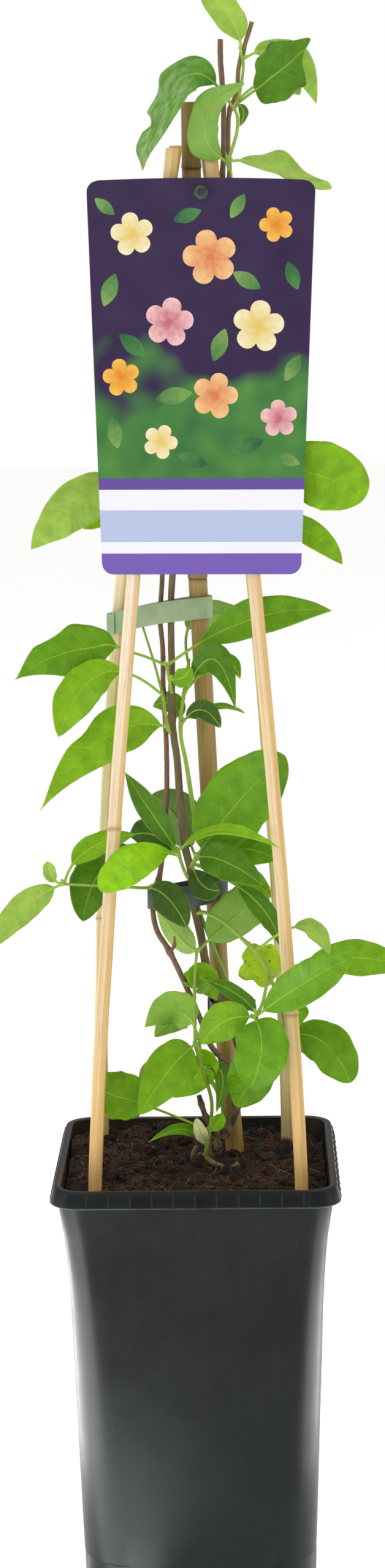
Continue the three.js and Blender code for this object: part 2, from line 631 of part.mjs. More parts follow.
function labelOutline() {
  const top = LABEL_HEIGHT / 2;
  const corners = [
    [-LABEL_BOTTOM_HALF, -top], [LABEL_BOTTOM_HALF, -top], [LABEL_TOP_HALF, top - LABEL_ARCH],
    [-LABEL_TOP_HALF, top - LABEL_ARCH],
  ].map(([x, y]) => new THREE.Vector2(x, y));
  const shape = new THREE.Shape();
  corners.forEach((corner, i) => {
    const before = corners[(i + 3) % 4].clone().sub(corner).setLength(LABEL_CORNER).add(corner);
    const after = corners[(i + 1) % 4].clone().sub(corner).setLength(LABEL_CORNER).add(corner);
    if (i === 0) shape.moveTo(before.x, before.y);
    else if (i === 3) shape.quadraticCurveTo(0, top + LABEL_ARCH, before.x, before.y);
    else shape.lineTo(before.x, before.y);
    shape.quadraticCurveTo(corner.x, corner.y, after.x, after.y);
  });
  shape.closePath();
  const hole = new THREE.Path();
  hole.absarc(0, top - LABEL_HOLE_DROP, LABEL_HOLE_RADIUS, 0, 2 * Math.PI, true);
  shape.holes.push(hole);
  return shape;
}

function buildLabel() {
  const plate = new THREE.ExtrudeGeometry(labelOutline(), {
    depth: LABEL_THICK, bevelEnabled: false, curveSegments: 5,
  });
  plate.translate(0, 0, -LABEL_THICK / 2);
  plate.rotateX(Math.PI / 2);
  return toSolid(inLabelFrame(plate));
}

// head in front of the label, shank through label and top tie, and a flat foot behind the tie
function buildRivet(extra = 0) {
  const profile = [
    [0, -2.4], [2.2, -2.4], [RIVET_HEAD_RADIUS, -1.6], [RIVET_HEAD_RADIUS, -0.4 - GAP],
    [RIVET_SHANK_RADIUS + extra, -0.4 - GAP], [RIVET_SHANK_RADIUS + extra, 6.4], [0, 6.4],
  ].map(([radius, y]) => new THREE.Vector2(radius, y));
  const rivet = new THREE.LatheGeometry(profile, 8);
  rivet.translate(0, 0, LABEL_HEIGHT / 2 - LABEL_HOLE_DROP);
  return toSolid(inLabelFrame(rivet));
}

// a tape standing on edge along a curve seen from above
function tapeRings(curve, steps, last, tape) {
  const rings = [];
  for (let i = 0; i <= last; i += 1) {
    const centre = curve.getPoint(i / steps);
    const along = curve.getTangent(i / steps).setZ(0).normalize();
    const out = new THREE.Vector3(along.y, -along.x, 0);
    const corner = (side, rise) => centre.clone()
      .addScaledVector(out, side * TAPE_THICK / 2)
      .add(new THREE.Vector3(0, 0, rise * tape / 2));
    rings.push([corner(-1, -1), corner(-1, 1), corner(1, 1), corner(1, -1)]);
  }
  return rings;
}

function buildTie({ tape, route, tail }) {
  const loop = smooth(route, true);
  const steps = route.length * 2;
  const solid = toSolid(loft(tapeRings(loop, steps, steps - 1, tape), true));
  if (!tail) return solid;
  const end = smooth(tail);
  return solid.add(toSolid(loft(tapeRings(end, 4, 4, tape))));
}

// ---- Leaves ----

// half width along the blade, as a share of its widest
function leafOutline(t, base, taper) {
  const widest = base / (base + taper);
  return (t / widest) ** base * ((1 - t) / (1 - widest)) ** taper;
}

function leafSpine(root, middle, tip) {
  const control = middle.clone().multiplyScalar(2).addScaledVector(root, -0.5).addScaledVector(tip, -0.5);
  return new THREE.QuadraticBezierCurve3(root, control, tip);
}

// the petiole is a narrow, thick start of the same sheet as the blade
function leafRows(spine, width, facing, petiole, outline, phase) {
  const rowAt = (s, half, thick, lifts) => {
    const along = spine.getTangent(s);
    const across = new THREE.Vector3().crossVectors(along, facing).normalize();
    const normal = new THREE.Vector3().crossVectors(across, along).normalize();
    return [-1, 0, 1].map((side, j) => ({
      point: spine.getPoint(s).addScaledVector(across, side * half).addScaledVector(normal, lifts[j]),
      reach: normal.clone().multiplyScalar(thick / 2),
    }));
  };
  const rows = [rowAt(0, PETIOLE_RADIUS, 2 * PETIOLE_RADIUS, [0, 0, 0])];
  for (let i = 0; i <= LEAF_STEPS; i += 1) {
    const t = i / LEAF_STEPS;
    const share = leafOutline(t, ...outline);
    const half = Math.max(width / 2 * share, t < 0.5 ? PETIOLE_RADIUS : LEAF_TIP);
    const wave = (side) => LEAF_WAVE * width * share * Math.sin(LEAF_RIPPLE * t + phase + side);
    const lifts = [LEAF_FOLD * half + wave(-1), 0, LEAF_FOLD * half + wave(1)];
    rows.push(rowAt(petiole + (1 - petiole) * t, half, i === 0 ? 2 * PETIOLE_RADIUS : LEAF_THICK, lifts));
  }
  return rows;
}

// a sheet through a grid of points, reaching to both sides of them, split alike on its two faces
function slab(rows) {
  const columns = rows[0].length;
  const cells = rows.flat();
  const top = cells.map(({ point, reach }) => point.clone().add(reach));
  const bottom = cells.map(({ point, reach }) => point.clone().sub(reach));
  const under = cells.length;
  const faces = [];
  for (let i = 0; i < rows.length - 1; i += 1) {
    for (let j = 0; j < columns - 1; j += 1) {
      const a = i * columns + j;
      const [b, c, d] = [a + 1, a + columns + 1, a + columns];
      faces.push([a, b, c], [a, c, d], [under + a, under + c, under + b], [under + a, under + d, under + c]);
    }
  }
  const border = [];
  for (let j = 0; j < columns - 1; j += 1) border.push(j);
  for (let i = 0; i < rows.length - 1; i += 1) border.push(i * columns + columns - 1);
  for (let j = columns - 1; j > 0; j -= 1) border.push((rows.length - 1) * columns + j);
  for (let i = rows.length - 1; i > 0; i -= 1) border.push(i * columns);
  border.forEach((a, k) => {
    const b = border[(k + 1) % border.length];
    faces.push([a, under + a, under + b], [a, under + b, b]);
  });
  return toSolid(indexedGeometry([...top, ...bottom], faces));
}

function buildShoot({ stems, leaves }, phase) {
  const curves = stems.map(({ points }) => smooth(points));
  const spots = curves.flatMap((curve) => curve.getSpacedPoints(60));
  const parts = stems.map((one) => stem(one));
  leaves.forEach(([, root, middle, tip, width, facing, petiole, ...outline], i) => {
    const near = vector(root);
    const start = spots.reduce((best, p) => (p.distanceTo(near) < best.distanceTo(near) ? p : best));
    const spine = leafSpine(start, vector(middle), vector(tip));
    const rows = leafRows(spine, width, vector(FACING[facing]), petiole, outline, phase + LEAF_PHASE * i);
    parts.push(slab(rows));
  });
  return join(parts);
}

// ---- Assembly ----

const group = new THREE.Group();

function addNode(name, solid, material) {
  const mesh = new THREE.Mesh(toGeometry(solid), material);
  mesh.name = name;
  group.add(mesh);
}

const wood = onePiece(join(WOODY_STEMS.map((one) => stem(one))));
const woodRoom = join(WOODY_STEMS.map((one) => stem(one, GAP)));
const stakes = Object.entries(STAKES).map(([name, points]) => [name, buildStake(points)]);
const stickRoom = [...Object.values(STAKES).map((points) => buildStake(points, GAP)), buildCane(GAP)];

addNode('pot', buildPot(), MATERIALS.pot());
addNode('soil', buildSoil([...stickRoom, woodRoom]), MATERIALS.soil());
for (const [name, solid] of stakes) addNode(name, solid, MATERIALS.stake());
addNode('centre_cane', buildCane(), MATERIALS.cane());
addNode('woody_stems', wood, MATERIALS.wood());

for (const [name, tie] of Object.entries(TIES)) {
  const solid = name === 'top_tie' ? buildTie(tie).subtract(buildRivet(GAP)) : buildTie(tie);
  addNode(name, solid, MATERIALS.tape());
}
addNode('label', buildLabel(), MATERIALS.label());
addNode('label_rivet', buildRivet(), MATERIALS.rivet());

Object.entries(SHOOTS).forEach(([name, shoot], i) => {
  const solid = onePiece(buildShoot(shoot, i).subtract(woodRoom));
  addNode(name, solid, MATERIALS.leaf());
});

export default group;
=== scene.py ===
"""A young honeysuckle in a square nursery pot, trained on four split canes and one round cane."""

import random
from functools import partial
from math import copysign, cos, exp, pi, radians, sin

import bmesh
import bpy
from mathutils import Matrix, Quaternion, Vector, geometry, noise


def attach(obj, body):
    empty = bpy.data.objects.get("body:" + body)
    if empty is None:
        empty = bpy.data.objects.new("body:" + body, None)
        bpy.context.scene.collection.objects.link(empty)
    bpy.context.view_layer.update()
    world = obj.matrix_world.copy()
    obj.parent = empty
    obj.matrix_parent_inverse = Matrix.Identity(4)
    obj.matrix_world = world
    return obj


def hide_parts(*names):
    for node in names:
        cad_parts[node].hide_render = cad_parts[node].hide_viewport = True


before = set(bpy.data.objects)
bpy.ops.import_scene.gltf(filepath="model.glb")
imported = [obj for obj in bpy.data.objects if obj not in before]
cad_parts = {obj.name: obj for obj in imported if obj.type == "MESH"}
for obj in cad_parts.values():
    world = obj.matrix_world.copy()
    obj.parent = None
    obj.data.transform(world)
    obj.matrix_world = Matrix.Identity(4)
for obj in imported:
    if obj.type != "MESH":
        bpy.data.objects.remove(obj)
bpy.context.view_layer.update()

# ---- Camera and studio ----
# A long lens a little above the label, looking slightly down. The plant stands on a plain pale floor
# between broad soft boxes, so shadows are faint and the pot's edges catch a long soft gleam.

lens = bpy.data.cameras.new("camera")
lens.lens = 70
lens.sensor_width = 36
lens.clip_end = 30
camera = bpy.data.objects.new("camera", lens)
camera.matrix_world = (
    Matrix.Translation((0.025, -1.364, 0.589))
    @ Matrix.Rotation(radians(1.05), 4, "Z")
    @ Matrix.Rotation(radians(80.78), 4, "X")
    @ Matrix.Rotation(radians(-0.7), 4, "Z")
)
bpy.context.collection.objects.link(camera)
scene = bpy.context.scene
scene.camera = camera
scene.view_settings.view_transform = "Standard"

SOFT_BOXES = {
    # place and aim in metres, width, height, watts, and whether it lights matt surfaces too
    "left_box": ((-1.5, -0.5, 0.7), (0, 0, 0.35), 1.0, 1.6, 6.5, True),
    "right_box": ((1.5, -0.3, 0.7), (0, 0, 0.35), 0.8, 1.6, 5, True),
    "front_box": ((-0.5, -1.9, 1.5), (0, 0, 0.4), 1.2, 1.0, 7, True),
    "top_box": ((0, 0.1, 2.1), (0, 0, 0.3), 2.2, 2.2, 19, True),
    "left_gleam": ((-0.16, -0.02, 0.05), (0, -0.02, 0.05), 0.3, 0.1, 0.75, False),
    "right_gleam": ((0.17, 0.0, 0.05), (0, 0.0, 0.05), 0.2, 0.1, 0.32, False),
    "floor_gleam": ((-0.105, -0.13, 0.003), (-0.105, -0.13, 1), 0.17, 0.15, 0.4, False),
}
for name, (place, aim, width, height, watts, lights_all) in SOFT_BOXES.items():
    light = bpy.data.lights.new(name, "AREA")
    light.shape = "RECTANGLE"
    light.size, light.size_y, light.energy = width, height, watts
    box = bpy.data.objects.new(name, light)
    box.location = place
    box.visible_diffuse = lights_all
    box.rotation_euler = (Vector(aim) - Vector(place)).to_track_quat("-Z", "Y").to_euler()
    bpy.context.collection.objects.link(box)


def linear(code):
    """A hex colour, as linear red, green, blue and 1."""
    shares = [int(code[i : i + 2], 16) / 255 for i in (1, 3, 5)]
    return (*(s / 12.92 if s <= 0.04045 else ((s + 0.055) / 1.055) ** 2.4 for s in shares), 1)


world = bpy.data.worlds.new("studio")
world.use_nodes = True
backdrop = world.node_tree.nodes["Background"]
scene.world = world


def feed(node, key, value):
    """Set an input to a number or a hex colour, or link it to a socket or to another node."""
    if isinstance(value, bpy.types.Node):
        value = next(out for out in value.outputs if out.enabled)
    if isinstance(value, bpy.types.NodeSocket):
        node.id_data.links.new(value, node.inputs[key])
    else:
        node.inputs[key].default_value = linear(value) if isinstance(value, str) else value


def add(tree, kind, *values, **named):
    """A shader node with its named settings and inputs, and values for its live inputs in turn."""
    made = tree.nodes.new("ShaderNode" + kind)
    if kind == "Mix":
        made.data_type = "RGBA"
    for key, value in named.items():
        if key in made.inputs:
            feed(made, key, value)
        else:
            setattr(made, key, value)
    live = [i for i, socket in enumerate(made.inputs) if socket.enabled]
    for key, value in zip(live, values):
        feed(made, key, value)
    return made


def start_material(name, **constants):
    """A named material, add for its own tree, and its shader with the constants set on it."""
    made = bpy.data.materials.new(name)
    made.use_nodes = True
    shader = made.node_tree.nodes["Principled BSDF"]
    for key, value in constants.items():
        feed(shader, key.replace("_", " "), value)
    return made, partial(add, made.node_tree), shader


def as_object(name, bm, *finishes):
    """An object in the scene, made of a bmesh and its materials."""
    mesh = bpy.data.meshes.new(name)
    bm.to_mesh(mesh)
    bm.free()
    for finish in finishes:
        mesh.materials.append(finish)
    made = bpy.data.objects.new(name, mesh)
    bpy.context.collection.objects.link(made)
    return made


# The white backdrop lights the plant by less than it shows, and gleams brightest on glossy skins.
rays = add(world.node_tree, "LightPath").outputs
glow = add(world.node_tree, "MapRange", rays["Is Glossy Ray"], 0, 1, 0.33, 0.42)
glow = add(world.node_tree, "Math", rays["Is Camera Ray"], glow, operation="MAXIMUM")
feed(backdrop, "Color", "#FFFFFF")
feed(backdrop, "Strength", glow)

# Matt paper sweep, lit from below as on a light table, with the faintest mottle.
paper, node, shader = start_material(
    "matt_paper_sweep", Roughness=0.9, Emission_Color="#FFFFFF", Emission_Strength=0.64
)
mottle = node("TexNoise", node("TexCoord").outputs["Object"], 3, 2)
feed(shader, "Base Color", node("Mix", mottle, "#F6F6F4", "#FFFFFE"))
sweep = bmesh.new()
bmesh.ops.create_grid(sweep, x_segments=1, y_segments=1, size=9)
floor = as_object("floor", sweep, paper)

# ---- Pot ----
# A tall square nursery pot of recycled polypropylene, injection moulded: thin walls that flare to a
# stiff ribbed lip, a stepped foot and drain holes. The grey-black plastic has a fine satin grain.

POT_OUTSIDE = [
    # height, half width and corner radius, from the foot up to the lip
    (0, 52.4, 21), (0.7, 52.9, 21.5), (8, 53.1, 21.5), (15.2, 53.2, 21.5), (16.4, 53.3, 21.5),
    (32, 53.9, 21), (49, 54.4, 20), (78, 55.2, 18.5), (106, 56.1, 17), (135, 56.9, 15),
    (154, 57.8, 13.5), (162, 58.4, 13), (170, 59.1, 12.5), (181, 60.7, 12), (187.3, 61.6, 12),
    (187.5, 64.5, 13), (188, 65, 13), (188.6, 65, 13), (194, 63.4, 12.4), (194.7, 63.1, 12.2),
    (195, 62.6, 12),
]
POT_INSIDE = [
    (195, 60.6, 10.6), (194.6, 60.1, 10.4), (187, 59.9, 10.4), (170, 57.6, 11), (154, 56.3, 12),
    (106, 54.6, 15.5), (49, 52.9, 18.5), (17.5, 51.8, 20), (3, 50.6, 20), (2, 49.6, 20),
]
# the walls bow out by this much, below this height and fully so from this much further down
POT_BOW, POT_BOW_TOP, POT_BOW_FADE = 0.9, 180, 60
POT_NOTCH, POT_NOTCH_TOP = 1.1, 16
POT_RIB_SIZE, POT_RIB_AT, POT_RIB_TILT = (1.1, 0.9, 6), (-64.15, 191), -14.5
POT_RIB_PITCH = 9.6
POT_RIBS_EACH_SIDE = 11
DRAIN_RADIUS = 4.5
DRAINS = [(34, 34), (-34, 34), (-34, -34), (34, -34), (36, 0), (-36, 0), (0, 36), (0, -36)]


def extruded(bm, face):
    """A new face joined all round to the given one, ready to be moved away from it."""
    made = bmesh.ops.extrude_face_region(bm, geom=[face, *face.edges, *face.verts])["geom"]
    return next(part for part in made if isinstance(part, bmesh.types.BMFace))


def draw_out(bm, face, frames):
    """Extrude a face through matrices, each of which places the outline the face began as."""
    placed = Matrix.Identity(4)
    for i, place in enumerate(frames):
        if i:
            face = extruded(bm, face)
        bmesh.ops.transform(bm, matrix=place @ placed.inverted(), verts=face.verts)
        placed = place
    return face


def rounded_face(bm, half_x, half_y, corner, segments, low_half_x=None):
    """A flat rectangle with rounded corners, facing up, whose low edge may have its own width."""
    verts = bmesh.ops.create_grid(bm, x_segments=1, y_segments=1, size=1)["verts"]
    for point in verts:
        point.co.x *= low_half_x if low_half_x and point.co.y < 0 else half_x
        point.co.y *= half_y
    bmesh.ops.bevel(
        bm, geom=verts, offset=corner, offset_type="OFFSET", affect="VERTICES", segments=segments,
        profile=0.5, material=-1,
    )
    return bm.faces[:][-1]


def into_scene(name, bm, *finishes, sharp=40, slot=None, replaces=(), closed=True):
    """Turn a bmesh in millimetres into a riding piece in metres, smooth but for its sharp edges."""
    if closed:
        bmesh.ops.recalc_face_normals(bm, faces=bm.faces)
    bmesh.ops.scale(bm, vec=(0.001, 0.001, 0.001), verts=bm.verts)
    piece = as_object(name, bm, *finishes)
    piece.data.shade_smooth()
    piece.data.set_sharp_from_angle(angle=radians(sharp))
    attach(piece, "root")
    if replaces:
        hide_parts(*replaces)
    return piece


def coats(node, body, *layers):
    """A body colour painted over: what drives each coat, the range it runs in if any, its colour."""
    for drive, *span, colour in layers:
        body = node("Mix", node("MapRange", drive, *span) if span else drive, body, colour)
    return body


# Moulded polypropylene: satin, with a 0.9 mm spark-eroded grain, faint flow streaks and dusty patches,
# painted paler towards the foot and with a painted highlight along the lip.
plastic, node, shader = start_material(
    "moulded_polypropylene", Roughness=0.32, IOR=1.49, Specular_IOR_Level=0.22
)
place = node("TexCoord").outputs["Object"]
height = node("SeparateXYZ", place).outputs["Z"]
dust = node("TexNoise", place, 1000 / 35, 5, 0.62)
flow = node("TexNoise", node("Mapping", Vector=place, Scale=(1, 1, 0.12)), 1000 / 6, 3)
specks = node("TexNoise", place, 1000 / 2.6, 2, 0.7)
haze = node("MapRange", dust, 0.4, 0.66, 0, 0.8)
# painted highlight: a paler line along the foot of the lip, broken up in patches
off = node("Math", node("Math", height, 0.1878, operation="SUBTRACT"), operation="ABSOLUTE")
pale_marks = node("MapRange", off, 0.0003, 0.0007, 1, 0)
pale_marks = node("Math", pale_marks, node("MapRange", dust, 0.4, 0.55, 0.1, 0.8), operation="MULTIPLY")
# painted light: the wall is painted paler towards the foot
body = coats(
    node, "#030706", (height, 0.19, 0.03, "#0B1415"), (haze, "#161C1C"),
    (flow, 0.45, 0.75, 0, 0.35, "#191C1E"), (specks, 0.73, 0.8, 0, 0.4, "#5A5C50"), (pale_marks, "#4C5250"),
    # the inside wall is soil-stained, and painted paler as painted light where it stands in shade
    (node("Attribute", attribute_name="soil_stain_and_painted_light").outputs["Fac"], node("Mix", haze, "#2B2A26", "#54452F")),
    (node("Attribute", attribute_name="rib").outputs["Fac"], "#1E2626"),
)
feed(shader, "Base Color", body)
feed(shader, "Roughness", node("MapRange", dust, 0.3, 0.7, 0.3, 0.42))
grain = node("Bump", 0.35, 0.0001, Height=node("TexNoise", place, 1000 / 0.9, 2))
sag = node("TexNoise", place, 1000 / 28, 1)
feed(shader, "Normal", node("Bump", 0.4, 0.0006, Height=sag, Normal=grain))

bm = bmesh.new()
# a small outline is resized to each row of the tables, its flat sides bowed out a little
half_was, corner_was = 1, 0.4
wall = rounded_face(bm, half_was, half_was, corner_was, 8)
flats = [edge for edge in wall.edges if edge.calc_length() > 0.5]
bmesh.ops.subdivide_edges(bm, edges=flats, cuts=9)
wall = bm.faces[:][0]
soil_stain_and_painted_light_of = bm.verts.layers.float.new("soil_stain_and_painted_light")
for i, (z, half, corner) in enumerate(POT_OUTSIDE + POT_INSIDE):
    if i:
        wall = extruded(bm, wall)
    inside = i >= len(POT_OUTSIDE)
    bow = 0 if inside else POT_BOW * min(1, max(0, POT_BOW_TOP - z) / POT_BOW_FADE)
    for point in wall.verts:
        flat_was, flat = half_was - corner_was, half - corner
        across = min(abs(point.co.x), abs(point.co.y)) / flat_was
        for axis in (0, 1):
            reach = abs(point.co[axis])
            if reach < flat_was:
                reach *= flat / flat_was
            elif across < 0.999:
                reach = half + bow * (1 - across * across)
            else:
                reach = flat + corner * (reach - flat_was) / corner_was
            point.co[axis] = copysign(reach, point.co[axis])
        point.co.z = z
        point[soil_stain_and_painted_light_of] = inside
    half_was, corner_was = half, corner
# the four corners are notched at the foot
for point in bm.verts:
    at_corner = point.co.xy.length > 53 and min(abs(point.co.x), abs(point.co.y)) > 28
    if at_corner and point.co.z < POT_NOTCH_TOP:
        point.co.xy -= POT_NOTCH * Vector((copysign(1, point.co.x), copysign(1, point.co.y)))
# stiffening ribs on the lip's sloping face, painted a little paler than the rest
rib_of = bm.verts.layers.float.new("rib")
for side in range(4):
    for rib in range(POT_RIBS_EACH_SIDE):
        bar = bmesh.ops.create_cube(bm, size=1)["verts"]
        bmesh.ops.scale(bm, vec=POT_RIB_SIZE, verts=bar)
        bmesh.ops.rotate(bm, matrix=Matrix.Rotation(radians(POT_RIB_TILT), 3, "X"), verts=bar)
        along = (rib - (POT_RIBS_EACH_SIDE - 1) / 2) * POT_RIB_PITCH
        bmesh.ops.translate(bm, vec=(along, *POT_RIB_AT), verts=bar)
        bmesh.ops.rotate(bm, matrix=Matrix.Rotation(side * pi / 2, 3, "Z"), verts=bar)
        for point in bar:
            point[rib_of] = 1
pot = into_scene("nursery_pot", bm, plastic, sharp=32, slot="pot", replaces=["pot"])

# the drain holes, cut through the floor
drill = bmesh.new()
for x, y in DRAINS:
    bmesh.ops.create_cone(
        drill, cap_ends=True, segments=20, radius1=DRAIN_RADIUS, radius2=DRAIN_RADIUS, depth=8,
        matrix=Matrix.Translation((x, y, 1)),
    )
bmesh.ops.scale(drill, vec=(0.001, 0.001, 0.001), verts=drill.verts)
drill_bits = as_object("drill", drill)
cut = pot.modifiers.new("drains", "BOOLEAN")
cut.object = drill_bits
cut.operation = "DIFFERENCE"
bpy.context.view_layer.update()
cut_pot = pot.evaluated_get(bpy.context.evaluated_depsgraph_get())
cut_mesh = bpy.data.meshes.new_from_object(cut_pot)
pot.modifiers.clear()
pot.data = cut_mesh
bpy.data.objects.remove(drill_bits)

# ---- Soil ----
# Peat potting compost that has settled a finger's width under the lip: crumbs of dark peat, reddish
# coir and bark fibres, and pale dead roots and moss on top. It is damp, so it is dark and matt.

SOIL_TOP = 186.5
SOIL_HALF = 59.2
SOIL_CORNER = 11
SOIL_SKIN = 5
SOIL_HEAPS = [
    # place, height and spread: the soil lies banked against the pot's left and back
    (-56, 30, 5.5, 22), (-48, -20, 3, 18), (-18, 52, 5.5, 14), (-30, 30, 2.5, 14), (37, 30, 3.5, 10),
    (28, 50, 2.5, 9), (10, -48, 2, 22), (44, -20, 2, 14),
]
# how many, how far out from the middle they start, and how far x and y reach together
SOIL_CRUMBS, CRUMB_REACH, CRUMB_CORNER = 1200, 57, 106
FIBRE_LOTS, FIBRES_IN_LOT, FIBRE_REACH, FIBRE_CORNER = 31, 20, 54, 96
FIBRE_LIMIT = 58


def crumbly(x, y):
    """The soil's height: its dome and lumps, crumbs 9, 4 and 2 mm across, and its heaps."""
    dome = 2 * (1 - (x * x + y * y) / 3600)
    lumps = sin(x * 0.31 + 1) * cos(y * 0.27) + 0.7 * sin(x * 0.13 - y * 0.21 + 2)
    spot = Vector((x, y, 0))
    crumbs = 2.4 * noise.noise(spot / 9) + 1.9 * noise.noise(spot / 4) + 1.0 * noise.noise(spot / 2)
    heaps = 0
    for at_x, at_y, high, wide in SOIL_HEAPS:
        heaps += high * exp(-((x - at_x) ** 2 + (y - at_y) ** 2) / wide**2)
    return SOIL_TOP + dome + 1.1 * lumps + 0.7 + crumbs + heaps


def through(points, step, closed=False):
    """Points about a step apart on the smooth curve through the given ones."""
    knots = [Vector(p) for p in points]
    if closed:
        knots = [knots[-1], *knots, knots[0], knots[1]]
    else:
        knots = [2 * knots[0] - knots[1], *knots, 2 * knots[-1] - knots[-2]]
    path = []
    for a, b, c, d in zip(knots, knots[1:], knots[2:], knots[3:]):
        ab, bc, cd = ((q - p).length ** 0.5 for p, q in ((a, b), (b, c), (c, d)))
        leave = ((b - a) / ab - (c - a) / (ab + bc) + (c - b) / bc) * bc
        arrive = ((c - b) / bc - (d - b) / (bc + cd) + (d - c) / cd) * bc
        count = max(2, round((c - b).length / step) + 1)
        path += geometry.interpolate_bezier(b, b + leave / 3, c - arrive / 3, c, count)[:-1]
    return path if closed else [*path, knots[-2]]


def frames_along(path, radii):
    """A matrix at each point of a path, which turns a flat outline square to it and sizes it."""
    frames = []
    turn, before = None, None
    for i, point in enumerate(path):
        ahead = (path[min(i + 1, len(path) - 1)] - path[max(i - 1, 0)]).normalized()
        swing = (before or Vector((0, 0, 1))).rotation_difference(ahead)
        turn = swing @ turn if turn else swing
        frames.append(Matrix.LocRotScale(point, turn, (radii[i], radii[i], 1)))
        before = ahead
    return frames


def pour(bm, own):
    """Move all of one bmesh into another, and give its points there."""
    scratch = bpy.data.meshes.new("scratch")
    own.to_mesh(scratch)
    own.free()
    start = len(bm.verts)
    bm.from_mesh(scratch)
    bpy.data.meshes.remove(scratch)
    bm.verts.ensure_lookup_table()
    return bm.verts[start:]


def draw_round(bm, sides, frames):
    """Extrude a disc of radius 1 through matrices, and give the last face."""
    ring = bmesh.ops.create_circle(bm, cap_ends=True, segments=sides, radius=1)["verts"]
    return draw_out(bm, ring[0].link_faces[0], frames)


def rod(bm, path, radii, sides):
    """Add a closed round rod along a path, and give its points."""
    own = bmesh.new()
    draw_round(own, sides, frames_along(path, radii))
    bmesh.ops.recalc_face_normals(own, faces=own.faces)
    return pour(bm, own)


def push_out(bm, faces, by):
    """Extrude faces, move the new ones, and leave the old ones as the far side."""
    made = bmesh.ops.extrude_face_region(bm, geom=faces)["geom"]
    bmesh.ops.translate(bm, vec=by, verts=[v for v in made if isinstance(v, bmesh.types.BMVert)])


# Damp peat: nearly black in its pores, rusty brown on the crumbs, with a grit of 1 mm and no shine, and
# broad patches of painted shade.
peat, node, shader = start_material("damp_peat", Roughness=0.95)
place = node("TexCoord").outputs["Object"]
clods = node("MapRange", node("TexNoise", place, 1000 / 5, 6, 0.7), 0.38, 0.64)
grit = node("TexVoronoi", place, 1000 / 1.1).outputs["Distance"]
spark = node("Math", node("MapRange", grit, 0.1, 0.5, 0.45, 0), clods, operation="MULTIPLY")
# painted shade: broad patches painted near black, standing in for shadows between the clods
painted_shade_hollows = node("TexNoise", place, 1000 / 19, 3, 0.6)
rust = coats(
    node, "#020101", (clods, "#4C2C15"),
    (node("Attribute", attribute_name="shade").outputs["Fac"], "#5A2E16"),
    (spark, "#A07444"), (painted_shade_hollows, 0.6, 0.44, 0, 0.8, "#090604"),
)
feed(shader, "Base Color", rust)
feed(shader, "Normal", node("Bump", 1.0, 0.0008, Height=grit))

bm = bmesh.new()
sheet = bmesh.ops.create_grid(bm, x_segments=100, y_segments=100, size=SOIL_HALF)["verts"]
straight = SOIL_HALF - SOIL_CORNER
for point in sheet:
    over_x, over_y = abs(point.co.x) - straight, abs(point.co.y) - straight
    if over_x > 0 and over_y > 0:
        pull = max(over_x, over_y) / (over_x * over_x + over_y * over_y) ** 0.5
        point.co.x = copysign(straight + over_x * pull, point.co.x)
        point.co.y = copysign(straight + over_y * pull, point.co.y)
    point.co.z = crumbly(point.co.x, point.co.y)
push_out(bm, bm.faces[:], (0, 0, SOIL_SKIN))
bmesh.ops.translate(bm, vec=(0, 0, -SOIL_SKIN), verts=bm.verts)
into_scene("compost", bm, peat, sharp=60, slot="soil")

dice = random.Random(7)


def scattered(reach, corner):
    """A random place on the soil, brought in where x and y would reach too far into a corner."""
    x, y = dice.uniform(-reach, reach), dice.uniform(-reach, reach)
    return (x / 2, y / 2) if abs(x) + abs(y) > corner else (x, y)


crumbs = bmesh.new()
shade_of = crumbs.verts.layers.float.new("shade")
for _ in range(SOIL_CRUMBS):
    x, y = scattered(CRUMB_REACH, CRUMB_CORNER)
    size = 0.4 + 1.9 * dice.random() ** 3
    turn = Quaternion((dice.random(), dice.random(), 1), dice.uniform(0, pi))
    squash = [size * dice.uniform(0.6, 1.3) for _ in range(3)]
    lay = Matrix.LocRotScale((x, y, crumbly(x, y) + 0.3), turn, squash)
    rusty = dice.random() ** 3
    crumb = bmesh.new()
    bmesh.ops.create_icosphere(crumb, subdivisions=2 if size > 1 else 1, radius=1, matrix=lay)
    for point in pour(crumbs, crumb):
        point[shade_of] = rusty
        point.co += 0.35 * size * noise.noise_vector(point.co * (1.6 / size))
into_scene("compost_crumbs", crumbs, peat, sharp=60, slot="soil")
cad_soil = bpy.data.objects["soil"]
cad_soil.data.materials.clear()
cad_soil.data.materials.append(peat)

# Coir and bark fibre: dry, stringy and rust red, a little lighter than the peat it lies on.
fibre, node, shader = start_material("coir_fibre", Roughness=0.85)
stripe = node("TexNoise", node("TexCoord").outputs["Object"], 1000 / 2, 3)
own = node("Attribute", attribute_name="shade").outputs["Fac"]
feed(shader, "Base Color", coats(node, "#2A160A", (stripe, "#805030"), (own, "#A89A56")))
feed(shader, "Normal", node("Bump", 0.5, 0.0002, Height=stripe))

